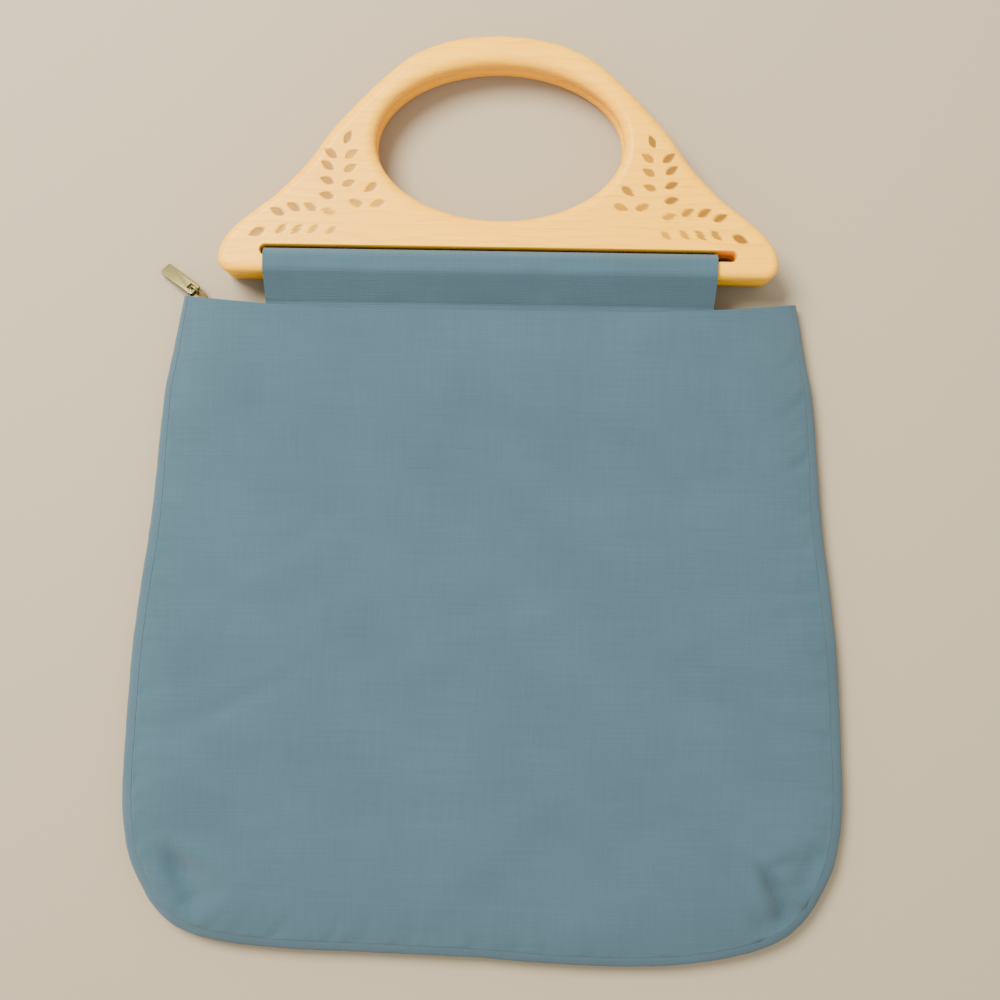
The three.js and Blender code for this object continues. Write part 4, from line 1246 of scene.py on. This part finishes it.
class BAG_OT_zip_teeth(Operator):
    """Adds the closed row of zip teeth"""

    bl_idname = "bag.zip_teeth"
    bl_label = "Zip Teeth"

    def execute(self, context):
        zipper = context.scene.zipper
        centre, across, _, lift = zip_course(context, 400, 160)
        face = off_face(centre, across)
        centre = centre + face * lift
        girth = along(centre)
        count = int(girth[-1] / zipper.teeth_pitch)
        place = (np.arange(count) + 0.5) * girth[-1] / count

        def at(values):
            return np.stack([np.interp(place, girth, values[:, k]) for k in range(3)], -1)

        middle, wide, out = at(centre), unit(at(across)), unit(at(face))
        forward = unit(np.cross(wide, out))
        # One tooth: a bar with chamfered ends whose head is bulged and whose root is narrower
        stations = np.array([-0.5, -0.43, -0.2, 0.05, 0.3, 0.5])
        half_long = np.array([0.55, 0.8, 0.62, 0.8, 0.72, 0.5]) * zipper.teeth_pitch / 2
        half_high = np.array([0.5, 0.8, 1.0, 1.0, 0.8, 0.45]) * zipper.teeth_height / 2
        ring = np.array([(1, 0.6), (0.6, 1), (-0.6, 1), (-1, 0.6), (-1, -0.6), (-0.6, -1),
                         (0.6, -1), (1, -0.6)])
        sides = np.where(np.arange(count) % 2 == 0, 1.0, -1.0)
        reach = 0.74 * zipper.teeth_width
        offset = (stations * reach + 0.13 * zipper.teeth_width)[None, :] * sides[:, None]
        points = middle[:, None, None] + wide[:, None, None] * offset[:, :, None, None]
        run = (half_long[:, None] * ring[:, 0])[None, ..., None]
        rise = (half_high[:, None] * ring[:, 1])[None, ..., None]
        points = points + forward[:, None, None] * run
        points = points + out[:, None, None] * rise
        ring_count = len(ring)
        faces = grid_faces(len(stations), ring_count, close_columns=True).tolist()
        caps = [list(range(ring_count))[::-1]]
        caps += [list(range(ring_count * (len(stations) - 1), ring_count * len(stations)))]
        each = np.array(faces, int)
        size = ring_count * len(stations)
        shift = (np.arange(count) * size)[:, None, None]
        quads = (each[None] + shift).reshape(-1, 4)
        ends = (np.array(caps)[None] + shift).reshape(-1, ring_count)
        all_faces = np.array(quads.tolist() + ends.tolist(), dtype=object)
        obj = mesh_object("brass_teeth", points, all_faces)
        work = bmesh.new()
        work.from_mesh(obj.data)
        bmesh.ops.recalc_face_normals(work, faces=work.faces)
        work.to_mesh(obj.data)
        work.free()
        smooth(obj, 35)
        finish_piece(obj, "bag", brass(zipper), ["zip_teeth"])
        return {"FINISHED"}


class BAG_OT_zip_slider(Operator):
    """Adds the slider and its pull with softened metal edges"""

    bl_idname = "bag.zip_slider"
    bl_label = "Zip Slider and Pull"

    def execute(self, context):
        zipper = context.scene.zipper
        rows = (("brass_slider", "zip_slider", "bag"), ("brass_pull", "zip_pull", "pull"))
        for name, node, body in rows:
            mesh = frame["nodes"][node].data.copy()
            mesh.name = name
            obj = bpy.data.objects.new(name, mesh)
            context.scene.collection.objects.link(obj)
            merge(obj, 1e-5)
            work = bmesh.new()
            work.from_mesh(obj.data)
            flat = math.radians(2)
            bmesh.ops.dissolve_limit(
                work, angle_limit=flat, verts=work.verts, edges=work.edges
            )
            work.to_mesh(obj.data)
            work.free()
            soft = obj.modifiers.new("edges", "BEVEL")
            soft.width = zipper.edge
            soft.segments = 3
            soft.limit_method = "ANGLE"
            soft.angle_limit = math.radians(40)
            apply_modifiers(obj)
            smooth(obj, 40)
            finish_piece(obj, body, brass(zipper), [node])
        return {"FINISHED"}


class BAG_OT_stage(Operator):
    """Adds the floor, the lights and the camera over the bag"""

    bl_idname = "bag.stage"
    bl_label = "Stage"

    def execute(self, context):
        scene = context.scene
        stage = scene.stage
        half_span, floor_drop = 4.0, 0.0001
        corners = half_span * np.array([(-1, -1), (1, -1), (1, 1), (-1, 1)])
        points = np.column_stack([corners, np.full(4, -floor_drop)]) - POUCH_ZERO
        floor = mesh_object("floor", points, np.array([[0, 1, 2, 3]]))
        material, tree, shader = new_material("pale_floor")
        shader.inputs["Base Color"].default_value = (*stage.floor, 1)
        shader.inputs["Roughness"].default_value = 0.9
        shader.inputs["Specular IOR Level"].default_value = 0.1
        floor.data.materials.append(material)

        world = bpy.data.worlds.new("soft_room")
        world.use_nodes = True
        back = world.node_tree.nodes["Background"]
        back.inputs["Color"].default_value = (1, 1, 1, 1)
        back.inputs["Strength"].default_value = stage.fill
        scene.world = world

        key = bpy.data.lights.new("key", "AREA")
        key.shape = "DISK"
        key.size = 0.7
        key.energy = stage.key_power
        key_obj = bpy.data.objects.new("key", key)
        key_obj.location = (-0.55, 0.68, 1.18)
        key_obj.rotation_euler = (-key_obj.location).to_track_quat("-Z", "Y").to_euler()
        scene.collection.objects.link(key_obj)

        camera = bpy.data.cameras.new("camera")
        camera.lens = stage.lens
        camera.sensor_width = 36
        camera.clip_start = 0.01
        camera_obj = bpy.data.objects.new("camera", camera)
        camera_obj.location = (stage.camera_x, stage.camera_y, stage.camera_height)
        camera_obj.rotation_euler = (0, 0, stage.camera_roll)
        scene.collection.objects.link(camera_obj)
        scene.camera = camera_obj
        return {"FINISHED"}


OPERATORS = (
    BAG_OT_back_panel,
    BAG_OT_front_panel,
    BAG_OT_casings,
    BAG_OT_handles,
    BAG_OT_zip_tape,
    BAG_OT_zip_teeth,
    BAG_OT_zip_slider,
    BAG_OT_stage,
)
SETTINGS = {
    "pouch": PouchSettings,
    "handle": HandleSettings,
    "casing": CasingSettings,
    "zipper": ZipSettings,
    "stage": StageSettings,
}


class BAG_PT_build(Panel):
    """Sizes, colours and build steps of the bag"""

    bl_label = "Handle Bag"
    bl_idname = "BAG_PT_build"
    bl_space_type = "VIEW_3D"
    bl_region_type = "UI"
    bl_category = "Handle Bag"

    def draw(self, context):
        for name, group in SETTINGS.items():
            box = self.layout.box()
            box.label(text=name.title())
            for field in group.__annotations__:
                box.prop(getattr(context.scene, name), field)
        for operator in OPERATORS:
            self.layout.operator(operator.bl_idname)


def register():
    """Registers the settings, operators and panel."""
    for group in SETTINGS.values():
        bpy.utils.register_class(group)
    for name, group in SETTINGS.items():
        setattr(bpy.types.Scene, name, PointerProperty(type=group))
    for cls in (*OPERATORS, BAG_PT_build):
        bpy.utils.register_class(cls)


def unregister():
    """Takes everything that register added out again."""
    for cls in (BAG_PT_build, *reversed(OPERATORS)):
        bpy.utils.unregister_class(cls)
    for name in SETTINGS:
        delattr(bpy.types.Scene, name)
    for group in SETTINGS.values():
        bpy.utils.unregister_class(group)


def main():
    """Builds every piece."""
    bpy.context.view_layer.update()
    register()
    for operator in OPERATORS:
        group, name = operator.bl_idname.split(".")
        getattr(getattr(bpy.ops, group), name)()


if __name__ == "__main__":
    main()
